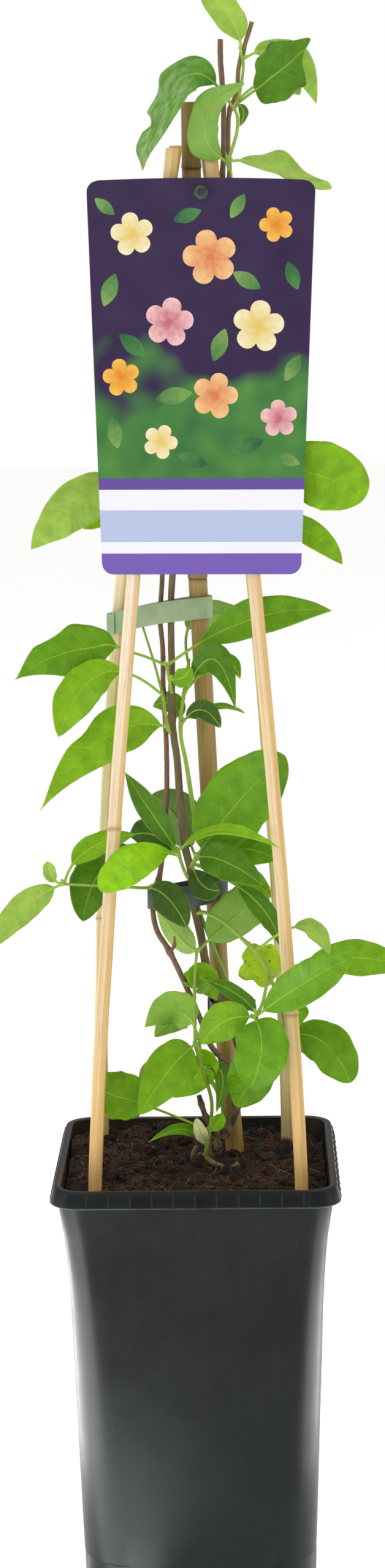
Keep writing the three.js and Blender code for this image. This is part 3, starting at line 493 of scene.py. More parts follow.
bm = bmesh.new()
for _ in range(FIBRE_LOTS):
    # each lot is poured in whole, which is quicker than one fibre at a time
    lot = bmesh.new()
    shade_of = lot.verts.layers.float.new("shade")
    for _ in range(FIBRES_IN_LOT):
        x, y = scattered(FIBRE_REACH, FIBRE_CORNER)
        heading = dice.uniform(0, 2 * pi)
        knots = []
        for _ in range(4):
            knots.append((x, y, crumbly(x, y) + dice.uniform(0.1, 1.4)))
            heading += dice.uniform(-0.45, 0.45)
            reach = dice.uniform(0.6, 3.6)
            x = max(-FIBRE_LIMIT, min(FIBRE_LIMIT, x + reach * cos(heading)))
            y = max(-FIBRE_LIMIT, min(FIBRE_LIMIT, y + reach * sin(heading)))
        thick = dice.uniform(0.06, 0.17)
        pale_share = dice.uniform(0.4, 0.9) if dice.random() < 0.1 else dice.uniform(0, 0.15)
        path = through(knots, 2.5)
        for point in rod(lot, path, [thick] * len(path), 4):
            point[shade_of] = pale_share
    pour(bm, lot)
into_scene("compost_fibres", bm, fibre, sharp=80, slot="soil")

# ---- Stakes ----
# Four flower sticks, split and sawn from thick bamboo and pushed in at the pot's corners: about 6 by
# 5 mm with eased edges, straight grained, springing inwards to the tie at the top.

STAKE_HALF_X, STAKE_HALF_Y, STAKE_CORNER = 3.0, 2.3, 0.9
STAKE_FOOT = 58
STAKE_STEP = 5
KNOT_STEPS = (-1.6, -0.7, 0, 0.9, 2)
STAKES = {
    # place at the soil, top, how late it leans on its way up, and the heights of its knots
    "stake_front_left": ((-45.3, -38, 188), (-5.3, -2, 650), 1.28, (352, 585)),
    "stake_front_right": ((47.6, -39.7, 188), (11.7, 2, 644.7), 1.25, (268, 540)),
    "stake_back_left": ((-45.5, 38, 188), (-4, 5, 651.3), 2, (300, 468)),
    "stake_back_right": ((42.5, 34, 188), (10, 19, 647), 1.55, (241, 505)),
}

# Split bamboo: straw yellow with long fibre streaks, tan bands, a right side painted tan as painted shade,
# and small dark specks. The streaks are 0.35 mm wide and some 45 mm long.
bamboo, node, shader = start_material("split_bamboo", Roughness=0.55)
lie = node("Attribute", attribute_name="lie").outputs["Vector"]
spot = node("SeparateXYZ", node("TexCoord").outputs["Object"]).outputs
streaks = node("TexNoise", node("Mapping", Vector=lie, Scale=(1 / 0.35, 1 / 0.35, 1 / 45)), 1, 4, 0.6)
bands = node("TexNoise", node("Mapping", Vector=lie, Scale=(1 / 2.2, 1 / 2.2, 1 / 120)), 1, 2)
stain = node("TexNoise", node("Mapping", Vector=lie, Scale=(1 / 1.2, 1 / 1.2, 1 / 30)), 1, 5, 0.7)
# painted light: they are painted paler above the leaves where the light falls, most on the left, and less
# again in the shade near the top
painted_light_high = node("MapRange", spot["Z"], 0.24, 0.46, 0, 0.75)
painted_light_high = node("Math", painted_light_high, node("MapRange", spot["Z"], 0.55, 0.62, 1, 0), operation="MULTIPLY")
painted_light_high = node("Math", painted_light_high, node("MapRange", spot["X"], -0.02, 0.01, 1, 0.35), operation="MULTIPLY")
straw = coats(
    node, "#F8E4B8", (bands, "#E6BA74"), (painted_light_high, "#FDF6E2"),
    # the wet soil darkens them at the foot, and the back pair, cut from greener cane, are yellower, and
    # painted paler as painted light against the shade they stand in
    (spot["Z"], 0.26, 0.2, 0, 0.8, "#F4C26E"), (spot["Y"], 0, 0.02, 0, 0.65, "#FAEBB0"),
    # painted shade: the right side of each stick, turned from the light, is painted tan
    (node("SeparateXYZ", lie).outputs["X"], 0.2, 1.3, 0, 0.75, "#DCB368"),
    (streaks, 0.48, 0.68, 0, 0.55, "#C88E4C"), (stain, 0.55, 0.69, 0, 0.6, "#B98650"),
    (node("TexNoise", lie, 1 / 1.6, 3, 0.7), 0.68, 0.78, 0, 0.6, "#8A6440"),
    (node("Attribute", attribute_name="knot").outputs["Fac"], "#A87B4A"),
)
feed(shader, "Base Color", straw)
feed(shader, "Normal", node("Bump", 0.5, 0.00025, Height=streaks))

for name, (surface, top, lean, knots) in STAKES.items():
    bm = bmesh.new()
    end = rounded_face(bm, STAKE_HALF_X, STAKE_HALF_Y, STAKE_CORNER, 3)
    rise = top[2] - surface[2]
    heights = [STAKE_FOOT, STAKE_FOOT + 6, surface[2]]
    heights += [surface[2] + STAKE_STEP * i for i in range(1, int(rise / STAKE_STEP))]
    heights += [z + d for z in knots for d in KNOT_STEPS]
    heights = sorted({round(z, 1) for z in heights}) + [top[2] - 0.4, top[2]]
    line, frames = {}, []
    for z in heights:
        t = max(z - surface[2], 0) / rise
        wander = 0.25 * noise.noise(Vector((surface[0], surface[1], z / 40)))
        x = surface[0] + (top[0] - surface[0]) * t**lean + wander
        line[z] = Vector((x, surface[1] + (top[1] - surface[1]) * t, 0))
        girth = 1 + 0.09 * sum(exp(-((z - knot) ** 2) / 1.2) for knot in knots)
        girth += 0.03 * noise.noise(Vector((z / 25, surface[0], 0)))
        if z in (top[2], STAKE_FOOT):
            girth = 0.93
        frames.append(Matrix.LocRotScale(line[z] + Vector((0, 0, z)), None, (girth, girth, 1)))
    draw_out(bm, end, frames)
    lie_of = bm.verts.layers.float_vector.new("lie")
    knot_of = bm.verts.layers.float.new("knot")
    for point in bm.verts:
        z = min(line, key=lambda height: abs(height - point.co.z))
        point[lie_of] = point.co - line[z] + Vector((0, 0, surface[0] * 30))
        point[knot_of] = max(0.75 * exp(-((z - knot) ** 2) / 0.8) for knot in knots)
    into_scene(name + "_stick", bm, bamboo, slot="stake", replaces=[name])

# ---- Centre cane ----
# One round bamboo cane, thicker than the stakes and older: hollow, with a ridge and a sheath scar at
# each joint. Its skin is smooth and olive brown, blotched with tan.

CANE_RADIUS = 4.25
CANE_BORE, CANE_BORE_DEPTH = 0.62, 14
CANE_TOP = 670.4
CANE_LINE = [
    (17.6, 21, 100), (17.6, 21, 189), (11.3, 18, 270), (3.2, 15, 460), (2.6, 12.5, 642),
    (2.6, 12, CANE_TOP),
]
CANE_JOINTS = [270, 460, 642]
JOINT_STEPS = (-3, -1.8, -1.1, -0.6, -0.2, 0.3, 0.9, 1.6, 2.6, 4)

# Bamboo skin: a hard waxy rind, faintly glossy, in fine lengthwise streaks over olive and tan blotches.
rind, node, shader = start_material("bamboo_cane_rind", Roughness=0.48, Specular_IOR_Level=0.35)
place = node("TexCoord").outputs["Object"]
height = node("SeparateXYZ", place).outputs["Z"]
drawn = node("Mapping", Vector=place, Scale=(1000 / 0.5, 1000 / 0.5, 1000 / 60))
streaks = node("TexNoise", drawn, 1, 3)
blots = node("Mapping", Vector=place, Scale=(1000 / 9, 1000 / 9, 1000 / 30))
blots = node("TexNoise", blots, 1, 4, 0.6)
tanned = node("Math", blots, node("MapRange", height, 0.643, 0.64), operation="MULTIPLY")
tanned = node("Math", tanned, node("MapRange", height, 0.56, 0.6, 0, 1.3), operation="MULTIPLY")
olive = coats(
    node, "#86743A", (blots, "#C09C58"),
    (height, 0.43, 0.66, 0, 0.55, "#5F5728"), (height, 0.3, 0.24, 0, 0.5, "#A88E42"),
    (tanned, "#A5722E"), (streaks, 0.42, 0.7, 0, 0.45, "#5E4A28"),
    (node("Attribute", attribute_name="scar").outputs["Fac"], "#3F2F1C"),
    (node("Attribute", attribute_name="bloom").outputs["Fac"], "#CDB98A"),
)
feed(shader, "Base Color", olive)
feed(shader, "Normal", node("Bump", 0.35, 0.0002, Height=streaks))

bm = bmesh.new()
heights = [100, 140, 180] + [186 + 6 * i for i in range(80)] + [CANE_TOP - 0.5, CANE_TOP]
heights += [z + d for z in CANE_JOINTS for d in JOINT_STEPS]
heights = sorted({z for z in heights if z <= CANE_TOP})
path, radii = [], []
for z in heights:
    low, high = next(pair for pair in zip(CANE_LINE, CANE_LINE[1:]) if pair[1][2] >= z)
    path.append(Vector(low).lerp(Vector(high), (z - low[2]) / (high[2] - low[2])))
    near = [z - joint for joint in CANE_JOINTS]
    ridge = sum(0.3 * exp(-((d - 0.7) ** 2) / 1.6) - 0.2 * exp(-((d + 0.6) ** 2) / 0.12) for d in near)
    radii.append(CANE_RADIUS + ridge + 0.06 * noise.noise(Vector((0, 0, z / 30))))
radii[-1] -= 0.4
top = draw_round(bm, 28, frames_along(path, radii))
# the bore, open at the sawn top
bmesh.ops.inset_individual(bm, faces=[top], thickness=0.0)
to_top = Matrix.Translation(-path[-1])
bmesh.ops.scale(bm, vec=(CANE_BORE, CANE_BORE, 1), space=to_top, verts=top.verts)
push_out(bm, [top], (0, 0, -CANE_BORE_DEPTH))
scar_of = bm.verts.layers.float.new("scar")
bloom_of = bm.verts.layers.float.new("bloom")
for point in bm.verts:
    near = [point.co.z - joint for joint in CANE_JOINTS]
    point[scar_of] = min(1, max(0.9 * exp(-((d + 0.5) ** 2) / 0.35) for d in near))
    point[bloom_of] = max(0.25 * exp(-((d + 3.2) ** 2) / 3) for d in near)
into_scene("centre_cane_stick", bm, rind, sharp=50, slot="cane", replaces=["centre_cane"])

# ---- Woody stems ----
# Last year's growth: a stump and main stem with flaking bark, a thinner climber wound round it, both
# cut off at the top, a green side stem and mossy roots. Leaf pairs have left ring-like swellings.

WOOD = {
    # radius at the two ends, heights of its joints, and points along it
    "stump": (3.4, 2.7, [196], [(-1, 7, 140), (0, 7, 172), (3, 7, 187), (6, 8, 193), (10, 9, 199)]),
    "main_stem": (
        2.4, 1.2, [203, 236, 312, 347, 397, 468, 508, 570, 611, 638, 671],
        [
            (11, 9, 199), (13, 10, 202), (17, 11, 210), (20, 10, 220), (22, 8, 233), (19, 7, 246),
            (13, 7, 260), (8, 7, 272), (5, 8, 282), (3, 8, 295), (0, 7, 310), (-1, 7, 324), (-4, 8, 338),
            (-5, 8, 349), (-6, 9, 360), (-7, 9, 377), (-9, 10, 394), (-9, 11, 419), (-9, 12, 442),
            (-8, 12, 462), (-2, 3, 489), (8, -2, 517), (12, 2, 544), (7, 7, 571), (-1, 6, 594), (3, 3, 610),
            (11, 8, 624), (16, 8, 638), (17, 8, 651), (17, 8, 672), (16, 8, 688), (16, 8, 697),
        ],
    ),
    "climber": (
        1.4, 1.0, [252, 289, 321, 408, 477, 565, 635, 667, 691],
        [
            (21, 9, 226), (14, 5, 236), (7, 2, 245), (3, 1, 256), (-4, 2, 273), (-12, 4, 290),
            (-17, 6, 298), (-19, 8, 308), (-17, 9, 318), (-15, 10, 328), (-13, 11, 349),
            (-12, 11, 363), (-12, 11, 389), (-13, 12, 408), (-13, 13, 428), (-14, 14, 441),
            (-13, 16, 458), (-12, 16, 477), (-4, 10, 503), (3, 7, 514), (8, 8, 524), (15, 6, 550),
            (13, 0, 578), (6, -4, 600), (8, 4, 613), (13, 9, 625), (19, 12, 637), (19, 11, 653),
            (20, 9, 667), (23, 8, 674), (24, 7, 685), (27, 6, 695), (30, 5, 704),
        ],
    ),
    "dead_stub": (2.0, 1.2, [209, 216], [(11, 9, 199), (8, 8, 204), (5, 8, 208), (3, 8, 213), (1, 8, 220)]),
    "dead_twig": (0.9, 0.7, [293], [(-11, 4, 289), (-9, 2, 293), (-9, 1, 297)]),
    "broken_root": (1.6, 1.0, [191], [(5, 6, 187), (-1, 4, 190), (-2, 3, 193), (0, 4, 197)]),
}
GREEN_STEM = (
    1.2, 0.9, [263, 291],
    [(20, 8, 242), (18, 9, 263), (13, 10, 278), (8, 10, 291), (4, 9, 302), (1, 7, 312)],
)
MOSSY_ROOT = (
    1.4, 1.0, [189],
    [(x, y, crumbly(x, y) + 0.7) for x, y in ((1, 5), (4, 1), (7, -1), (11, -3), (15, -3.5), (19, -1))],
)


def twig(bm, thick, thin, joints, points, sides, knurl):
    """A closed stem along a smooth line, thinning out, swollen at its joints and rough by knurl mm."""
    path = through(points, 1.6)
    radii = []
    for i, spot in enumerate(path):
        swell = sum(0.4 * exp(-((spot.z - joint) ** 2) / 2.2) for joint in joints)
        radii.append((thin + (thick - thin) * (1 - i / (len(path) - 1)) ** 2) * (1 + swell))
    made = rod(bm, path, radii, sides)
    for point in made:
        furrow = Vector((point.co.x, point.co.y, point.co.z / 6)) * 2
        rough = noise.noise(point.co / 1.1) + 0.6 * noise.noise(furrow)
        point.co += point.normal * knurl * rough
    return made


# Stem bark: thin, stringy, purple brown where young and grey brown and flaking below, quite matt.
bark, node, shader = start_material("flaking_stem_bark", Roughness=0.75)
place = node("TexCoord").outputs["Object"]
height = node("SeparateXYZ", place).outputs["Z"]
drawn = node("Mapping", Vector=place, Scale=(1000 / 0.7, 1000 / 0.7, 1000 / 8))
strings = node("TexNoise", drawn, 1, 4, 0.65)
patches = node("TexNoise", place, 1000 / 7, 3)
cracks = node("Mapping", Vector=place, Scale=(1000 / 1.8, 1000 / 1.8, 1000 / 6))
cracks = node("MapRange", node("TexNoise", cracks, 1, 4, 0.7), 0.42, 0.52, 0.85, 0)
cracks = node("Math", cracks, node("MapRange", height, 0.21, 0.25, 1, 0.25), operation="MULTIPLY")
young = node("MapRange", height, 0.6, 0.68)
own = node("Attribute", attribute_name="climber").outputs["Fac"]
brown = coats(
    node, "#84683E", (height, 0.2, 0.34, "#7A6842"), (young, "#8E6E58"),
    (own, node("Mix", young, "#946858", "#A27C48")),
    (node("Math", patches, 0.7, operation="MULTIPLY"), "#786848"),
    (strings, 0.34, 0.5, 0.4, 0, "#3A2A1E"), (cracks, "#2A1C10"), (strings, 0.6, 0.75, 0, 0.35, "#B08E72"),
)
feed(shader, "Base Color", brown)
feed(shader, "Normal", node("Bump", 0.8, 0.0004, Height=strings))

bm = bmesh.new()
climber_of = bm.verts.layers.float.new("climber")
for name, (thick, thin, joints, points) in WOOD.items():
    made = twig(bm, thick, thin, joints, points, 12, 0.1)
    for point in made:
        point[climber_of] = name in ("climber", "dead_twig")
into_scene("barked_stems", bm, bark, sharp=70, slot="wood", replaces=["woody_stems"])

# Green stem: this year's shoot, smooth with a faint bloom, yellow green flushed with brown in patches.
green_bark, node, shader = start_material("green_stem_skin", Roughness=0.5)
place = node("TexCoord").outputs["Object"]
fibres = node("Mapping", Vector=place, Scale=(1000 / 0.8, 1000 / 0.8, 1000 / 9))
fibres = node("TexNoise", fibres, 1, 3)
flush = node("TexNoise", place, 1000 / 16, 2)
green = coats(node, "#6F9A33", (fibres, "#A4C552"), (flush, 0.5, 0.75, 0, 0.6, "#8A7A42"))
feed(shader, "Base Color", green)
feed(shader, "Normal", node("Bump", 0.4, 0.0002, Height=fibres))

bm = bmesh.new()
twig(bm, *GREEN_STEM, 10, 0.05)
into_scene("green_side_stem", bm, green_bark, slot="wood", replaces=["woody_stems"])

# Mossy root: grey-green fuzz over brown, soft and quite matt.
moss, node, shader = start_material("mossy_root_skin", Roughness=1.0)
fuzz = node("TexNoise", node("TexCoord").outputs["Object"], 1000 / 1.2, 5, 0.7)
feed(shader, "Base Color", coats(node, "#66502F", (fuzz, 0.38, 0.58, "#8C8C56")))
feed(shader, "Normal", node("Bump", 0.9, 0.0006, Height=fuzz))

bm = bmesh.new()
twig(bm, *MOSSY_ROOT, 10, 0.3)
into_scene("surface_root", bm, moss, sharp=80, slot="wood", replaces=["woody_stems"])

# ---- Ties ----
# Soft PVC tree tape, pulled round the canes and stems and lapped over itself. Two of the tapes are
# wide; the top one gathers the canes and carries the label, and the lowest leaves a short tail.

TAPE_HALF_THICK, TAPE_EDGE = 0.3, 0.25
# how far apart the points along a tape are, and how many of them its end laps over
TAPE_STEP, TAPE_LAP = 1.6, 6
TIES = {
    # half the tape's width, its route round the canes, and its loose tail
    "top_tie": (
        3.4,
        [
            (-9.6, -9.1, 631), (2, -6.9, 631), (14, -4.6, 631), (18.6, -0.6, 631), (22.4, 8, 631),
            (22.4, 14.5, 631), (18.5, 22, 631), (9.5, 26.2, 631), (3, 22.8, 631), (-6.4, 14.8, 631),
            (-12.6, 9.6, 631), (-13.4, 0, 631), (-12.8, -6.4, 631),
        ],
        None,
    ),
    "tie_upper": (
        4.9,
        [
            (-37.6, 21.6, 438.6), (-37.6, 18, 438.6), (-35.6, 15.6, 439), (-30, 12.6, 441), (-22, 10, 443),
            (-14, 9.4, 444.5), (-5, 9.4, 445.6), (3.6, 9.6, 446.4), (8.2, 11, 446.8), (9.5, 15.4, 446.8),
            (7.8, 19.2, 446.7), (3, 21.1, 446.3), (-6, 22.2, 445), (-20, 23, 442.4), (-30, 23.6, 440),
            (-35.9, 23.9, 438.8),
        ],
        None,
    ),
    "tie_middle": (
        4.9,
        [
            (-21, 9, 313.4), (-19.6, 5.8, 313.6), (-11, 4.6, 314.2), (-1, 4, 314.9), (4.6, 5.4, 315.3),
            (9.4, 9.6, 315.9), (14, 13.2, 316.5), (15.2, 17.4, 316.7), (13, 21.4, 316.6),
            (8.8, 22.8, 316.2), (4.4, 20.8, 315.8), (-6, 14.6, 314.8), (-15, 12, 313.8), (-20, 11.6, 313.4),
        ],
        None,
    ),
    "tie_lower": (
        2.7,
        [
            (6.7, 18, 262.4), (6.7, 9, 262.2), (8.2, 4.8, 262), (12.4, 3.5, 261.9), (17.6, 5.2, 261.8),
            (21, 8.2, 261.7), (21.2, 12, 261.7), (19, 18.6, 261.9), (16.2, 22.6, 262.1), (12.2, 24, 262.3),
            (7.8, 21.8, 262.4),
        ],
        [(20.6, 11, 261.7), (24, 13.6, 261.4), (27.6, 15.4, 261)],
    ),
}


def soft_pvc(name, dull, bright):
    """Soft PVC tape: satin, with fine stretch lines across it every 0.6 mm and whitened creases."""
    made, node, shader = start_material(name, Roughness=0.42, IOR=1.53)
    place = node("TexCoord").outputs["Object"]
    lines = node("Mapping", Vector=place, Scale=(1000 / 0.6, 1000 / 0.6, 1000 / 14))
    lines = node("TexNoise", lines, 1, 3)
    clouds = node("TexNoise", place, 1000 / 6, 3)
    body = coats(node, dull, (clouds, bright), (lines, 0.6, 0.78, 0, 0.4, "#B9CBB0"))
    feed(shader, "Base Color", body)
    feed(shader, "Normal", node("Bump", 0.5, 0.0002, Height=lines))
    return made


sage_tape = soft_pvc("soft_pvc_tape_sage", "#7E9C6C", "#B0C29C")
dark_tape = soft_pvc("soft_pvc_tape_dark", "#22332B", "#40564A")


def upright_frames(path):
    """A matrix at each point of a level path, which stands a flat outline on edge across it."""
    frames = []
    for i, point in enumerate(path):
        ahead = path[min(i + 1, len(path) - 1)] - path[max(i - 1, 0)]
        ahead.z = 0
        ahead.normalize()
        out = ahead.cross(Vector((0, 0, 1)))
        frames.append(Matrix((*zip(out, (0, 0, 1), -ahead, point), (0, 0, 0, 1))))
    return frames


for name, (half, route, tail) in TIES.items():
    bm = bmesh.new()
    path = through(route, TAPE_STEP, closed=True)
    # the end lies on the start, one thickness further out
    frames = upright_frames([*path, *path[:TAPE_LAP]])
    for k in range(TAPE_LAP):
        rise = 2.2 * TAPE_HALF_THICK * min(1, (k + 1) / 3)
        frames[len(path) + k] = frames[len(path) + k] @ Matrix.Translation((rise, 0, 0))
    runs = [frames, upright_frames(through(tail, TAPE_STEP))] if tail else [frames]
    for run in runs:
        draw_out(bm, rounded_face(bm, TAPE_HALF_THICK, half, TAPE_EDGE, 2), run)
    finish = sage_tape if name == "tie_upper" else dark_tape
    into_scene(name + "_tape", bm, finish, slot="tape", replaces=[name])

# ---- Label ----
# A stiff printed card of glossy polypropylene, tapering to the bottom, with rounded corners and an
# arched top, leaning on the canes. Its print is a soft garden scene with simple flowers and bands.

LABEL_TOP_HALF, LABEL_BOTTOM_HALF = 50, 43.8
LABEL_HEIGHT = 172.5
LABEL_THICK = 0.8
LABEL_CORNER = 5
LABEL_ARCH = 1.2
in_label = (
    Matrix.Translation((6.3, -15.4, 550.7))
    @ Matrix.Rotation(radians(-3.1), 4, "X")
    @ Matrix.Rotation(radians(0.5), 4, "Y")
)

# Printed card: glossy film over ink. Aubergine above, blurred leaf greens below, then plain bands.
card, node, shader = start_material(
    "printed_polypropylene_card", Roughness=0.28, IOR=1.49, Specular_IOR_Level=0.25
)
sheet = node("Attribute", attribute_name="sheet").outputs["Vector"]
spot = node("SeparateXYZ", sheet).outputs
hue = node("TexNoise", sheet, 1 / 15, 1)
lower = node("MapRange", spot["Y"], 30, -40, -0.35, 0.45)
veil = node("Math", node("TexNoise", sheet, 1 / 26, 1), lower)
BANDS = [(-44, "#6750A0"), (-49, "#F4F2FA"), (-58, "#B9C5E3"), (-72, "#F4F2FA"), (-77, "#7A5FB5")]
garden = coats(
    node, node("Mix", hue, "#2B1E40", "#413054"),
    (veil, 0.42, 0.6, node("Mix", hue, "#1F5B38", "#5E9A45")),
    *((node("Math", spot["Y"], edge, operation="LESS_THAN"), colour) for edge, colour in BANDS),
)
feed(shader, "Base Color", coats(node, "#ECEAF2", (spot["Z"], 0.2, 0.3, garden)))
warp = node("TexNoise", sheet, 1 / 40, 1)
feed(shader, "Normal", node("Bump", 0.3, 0.002, Height=warp))

bm = bmesh.new()
straight = (LABEL_HEIGHT - LABEL_ARCH) / 2
rounded_face(bm, LABEL_TOP_HALF, straight, LABEL_CORNER, 8, low_half_x=LABEL_BOTTOM_HALF)
bmesh.ops.translate(bm, vec=(0, -LABEL_ARCH / 2, 0), verts=bm.verts)
top_edge = max(bm.edges, key=lambda edge: sum(v.co.y for v in edge.verts) + edge.calc_length())
bmesh.ops.subdivide_edges(bm, edges=[top_edge], cuts=15)
for point in bm.verts:
    if point.co.y > LABEL_HEIGHT / 2 - LABEL_ARCH - 0.01:
        point.co.y += LABEL_ARCH * (1 - (point.co.x / LABEL_TOP_HALF) ** 2)
bmesh.ops.translate(bm, vec=(0, 0, -LABEL_THICK / 2), verts=bm.verts)
push_out(bm, bm.faces[:], (0, 0, LABEL_THICK))
sheet_of = bm.verts.layers.float_vector.new("sheet")
for point in bm.verts:
    point[sheet_of] = point.co
upright = in_label @ Matrix.Rotation(pi / 2, 4, "X")
bmesh.ops.transform(bm, matrix=upright, verts=bm.verts)
into_scene("label_card", bm, card, slot="label", replaces=["label"])

# The print's flowers and leaves: raised varnish ink, one solid tint each, shaded to the middle.
INKS = {
    "cream": ("#F6EBC4", "#E8C766"), "peach": ("#F3C98B", "#DE7F4E"), "pink": ("#F2C9C6", "#C9697C"),
    "gold": ("#F7C251", "#E58A1E"), "soft_green": ("#7FA653", "#3E7A3C"),
    "deep_green": ("#4C8A44", "#1F5A35"),
}


def varnish_ink(name, rim, heart):
    """Raised varnish ink: glossy, the heart tint running out to the rim tint in small mottles."""
    made, node, shader = start_material("varnish_ink_" + name, Roughness=0.25)
    own = node("Attribute", attribute_name="heart").outputs["Fac"]
    mottle = node("TexNoise", node("TexCoord").outputs["Object"], 1000 / 2.5, 3)
    share = node("MapRange", mottle, 0.3, 0.7, -0.2, 0.2)
    share = node("Math", own, share, use_clamp=True)
    feed(shader, "Base Color", node("Mix", share, rim, heart))
    return made


FLOWERS = [
    # place on the card, size and ink; five round petals each
    (-30, 62, 15, "cream"), (4, 52, 19, "peach"), (33, 66, 12, "gold"), (-14, 24, 17, "pink"),
    (25, 22, 18, "cream"), (-35, 0, 13, "gold"), (6, -8, 16, "peach"), (34, -18, 13, "pink"),
    (-18, -28, 12, "cream"),
]
SPRIGS = [
    # place, length, heading in degrees and ink
    (-40, 38, 15, 70, "soft_green"), (-6, 70, 13, 200, "deep_green"), (20, 42, 14, 330, "soft_green"),
    (40, 44, 13, 110, "deep_green"), (-30, 14, 15, 140, "deep_green"), (8, 14, 15, 250, "soft_green"),
    (40, 4, 13, 60, "soft_green"), (-12, -8, 16, 190, "soft_green"), (20, -30, 15, 20, "deep_green"),
    (-38, -24, 14, 100, "soft_green"), (-4, -36, 14, 340, "deep_green"), (-42, 74, 11, 320, "soft_green"),
    (16, 74, 12, 60, "soft_green"), (38, -36, 11, 160, "soft_green"),
]
PETALS = 5


def disc(bm, segments, radius=1):
    """A round face of triangles, as its points."""
    return bmesh.ops.create_circle(
        bm, cap_ends=True, cap_tris=True, segments=segments, radius=radius
    )["verts"]


def set_down(bm, verts, turn, x, y, lift):
    """Turn points and set them down on the card, with their height over its face."""
    bmesh.ops.rotate(bm, matrix=Matrix.Rotation(turn, 3, "Z"), verts=verts)
    bmesh.ops.translate(bm, vec=(x, y, LABEL_THICK / 2 + lift), verts=verts)


for ink, (rim, heart) in INKS.items():
    bm = bmesh.new()
    heart_of = bm.verts.layers.float.new("heart")
    for x, y, size in (row[:3] for row in FLOWERS if row[3] == ink):
        for petal in range(PETALS):
            blade = disc(bm, 20)
            for point in blade:
                point[heart_of] = 0.5 - 0.5 * point.co.y
                point.co.x *= 0.24 * size * (1 + 0.25 * point.co.y)
                point.co.y = 0.31 * size * (point.co.y + 1.05)
            set_down(bm, blade, petal * 2 * pi / PETALS + x, x, y, 0.02 * petal + 0.05)
        eye = disc(bm, 14, 0.09 * size)
        set_down(bm, eye, 0, x, y, 0.16)
        for point in eye:
            point[heart_of] = 1.4
    for x, y, size, heading in (row[:4] for row in SPRIGS if row[4] == ink):
        blade = disc(bm, 24)
        for point in blade:
            point[heart_of] = 0.5 + 0.5 * point.co.x
            point.co.y *= 0.24 * size * (1 - 0.55 * point.co.x * point.co.x)
            point.co.x *= size / 2
        set_down(bm, blade, radians(heading), x, y, 0.03)
    push_out(bm, bm.faces[:], (0, 0, -0.2))
    bmesh.ops.transform(bm, matrix=upright, verts=bm.verts)
    into_scene("label_print_" + ink, bm, varnish_ink(ink, rim, heart), slot="label")

# ---- Rivet ----
# A push rivet of dark green nylon, pressed through card and tape: a low domed head with a dimple where
# the pin went in, and moulding scuffs.

nylon, node, shader = start_material("moulded_nylon", Roughness=0.35, IOR=1.53)
pale_marks = node("TexNoise", node("TexCoord").outputs["Object"], 1000 / 1.3, 4)
feed(shader, "Base Color", node("Mix", pale_marks, "#151F19", "#3A4C3F"))
feed(shader, "Normal", node("Bump", 0.6, 0.0003, Height=pale_marks))

RIVET_UNDER_TOP = 6.3
RIVET_PROFILE = [
    # radius and how far in front of the card's middle
    (1.4, -6.3), (1.5, -0.7), (3.2, -0.6), (3.4, 0.7), (3.3, 1.3), (2.9, 1.9), (2.1, 2.35), (1.35, 2.4),
    (1.2, 2.2), (1.0, 1.6), (0.5, 1.5),
]
bm = bmesh.new()
centre = LABEL_HEIGHT / 2 - RIVET_UNDER_TOP
frames = [Matrix.LocRotScale((0, centre, out), None, (r, r, 1)) for r, out in RIVET_PROFILE]
draw_round(bm, 28, frames)
bmesh.ops.transform(bm, matrix=upright, verts=bm.verts)
into_scene("push_rivet", bm, nylon, slot="rivet", replaces=["label_rivet"])

# ---- Leafy shoots ----
# This year's growth: green stems from the joints of the old wood, with opposite pairs of oval leaves
# on short petioles. Each leaf is a thin waxy blade, folded a little along a raised midrib, its margin
# gently waved, darker above than below.

# which way a leaf's upper face looks
FACING = {"front": (0, -1, 0.25), "back": (0, 1, 0.25), "sky": (0, -0.35, 1), "half": (0, -0.8, 0.75)}
LEAF_TONES = {
    # upper face, and how scarred the leaf is
    # shade is painted shade: the leaf green painted darker for the leaves that lie in shadow
    "shade": ("#3A5E16", 0.3), "deep": ("#4C800C", 0.25), "mid": ("#659E0A", 0.2),
    "fresh": ("#76AC0C", 0.15), "bright": ("#82B812", 0.1), "young": ("#92D010", 0.0),
    "dewy": ("#4C8A10", 0.1), "soft": ("#9EC450", 0.1), "yellow": ("#AAD214", 1.0),
    "pale": ("#F6F8B8", 0.0),
}
LEAF_ROWS, LEAF_COLUMNS, SPINE_STEPS = 40, 14, 24
LEAF_THICK = 0.45
LEAF_FOLD = 0.22
LEAF_WAVE = 0.07
LEAF_BUCKLE = 0.05
PETIOLE_RADIUS = 0.75
MIDRIB_POINTS, MIDRIB_END, MIDRIB_SINK = 31, 0.97, 0.34
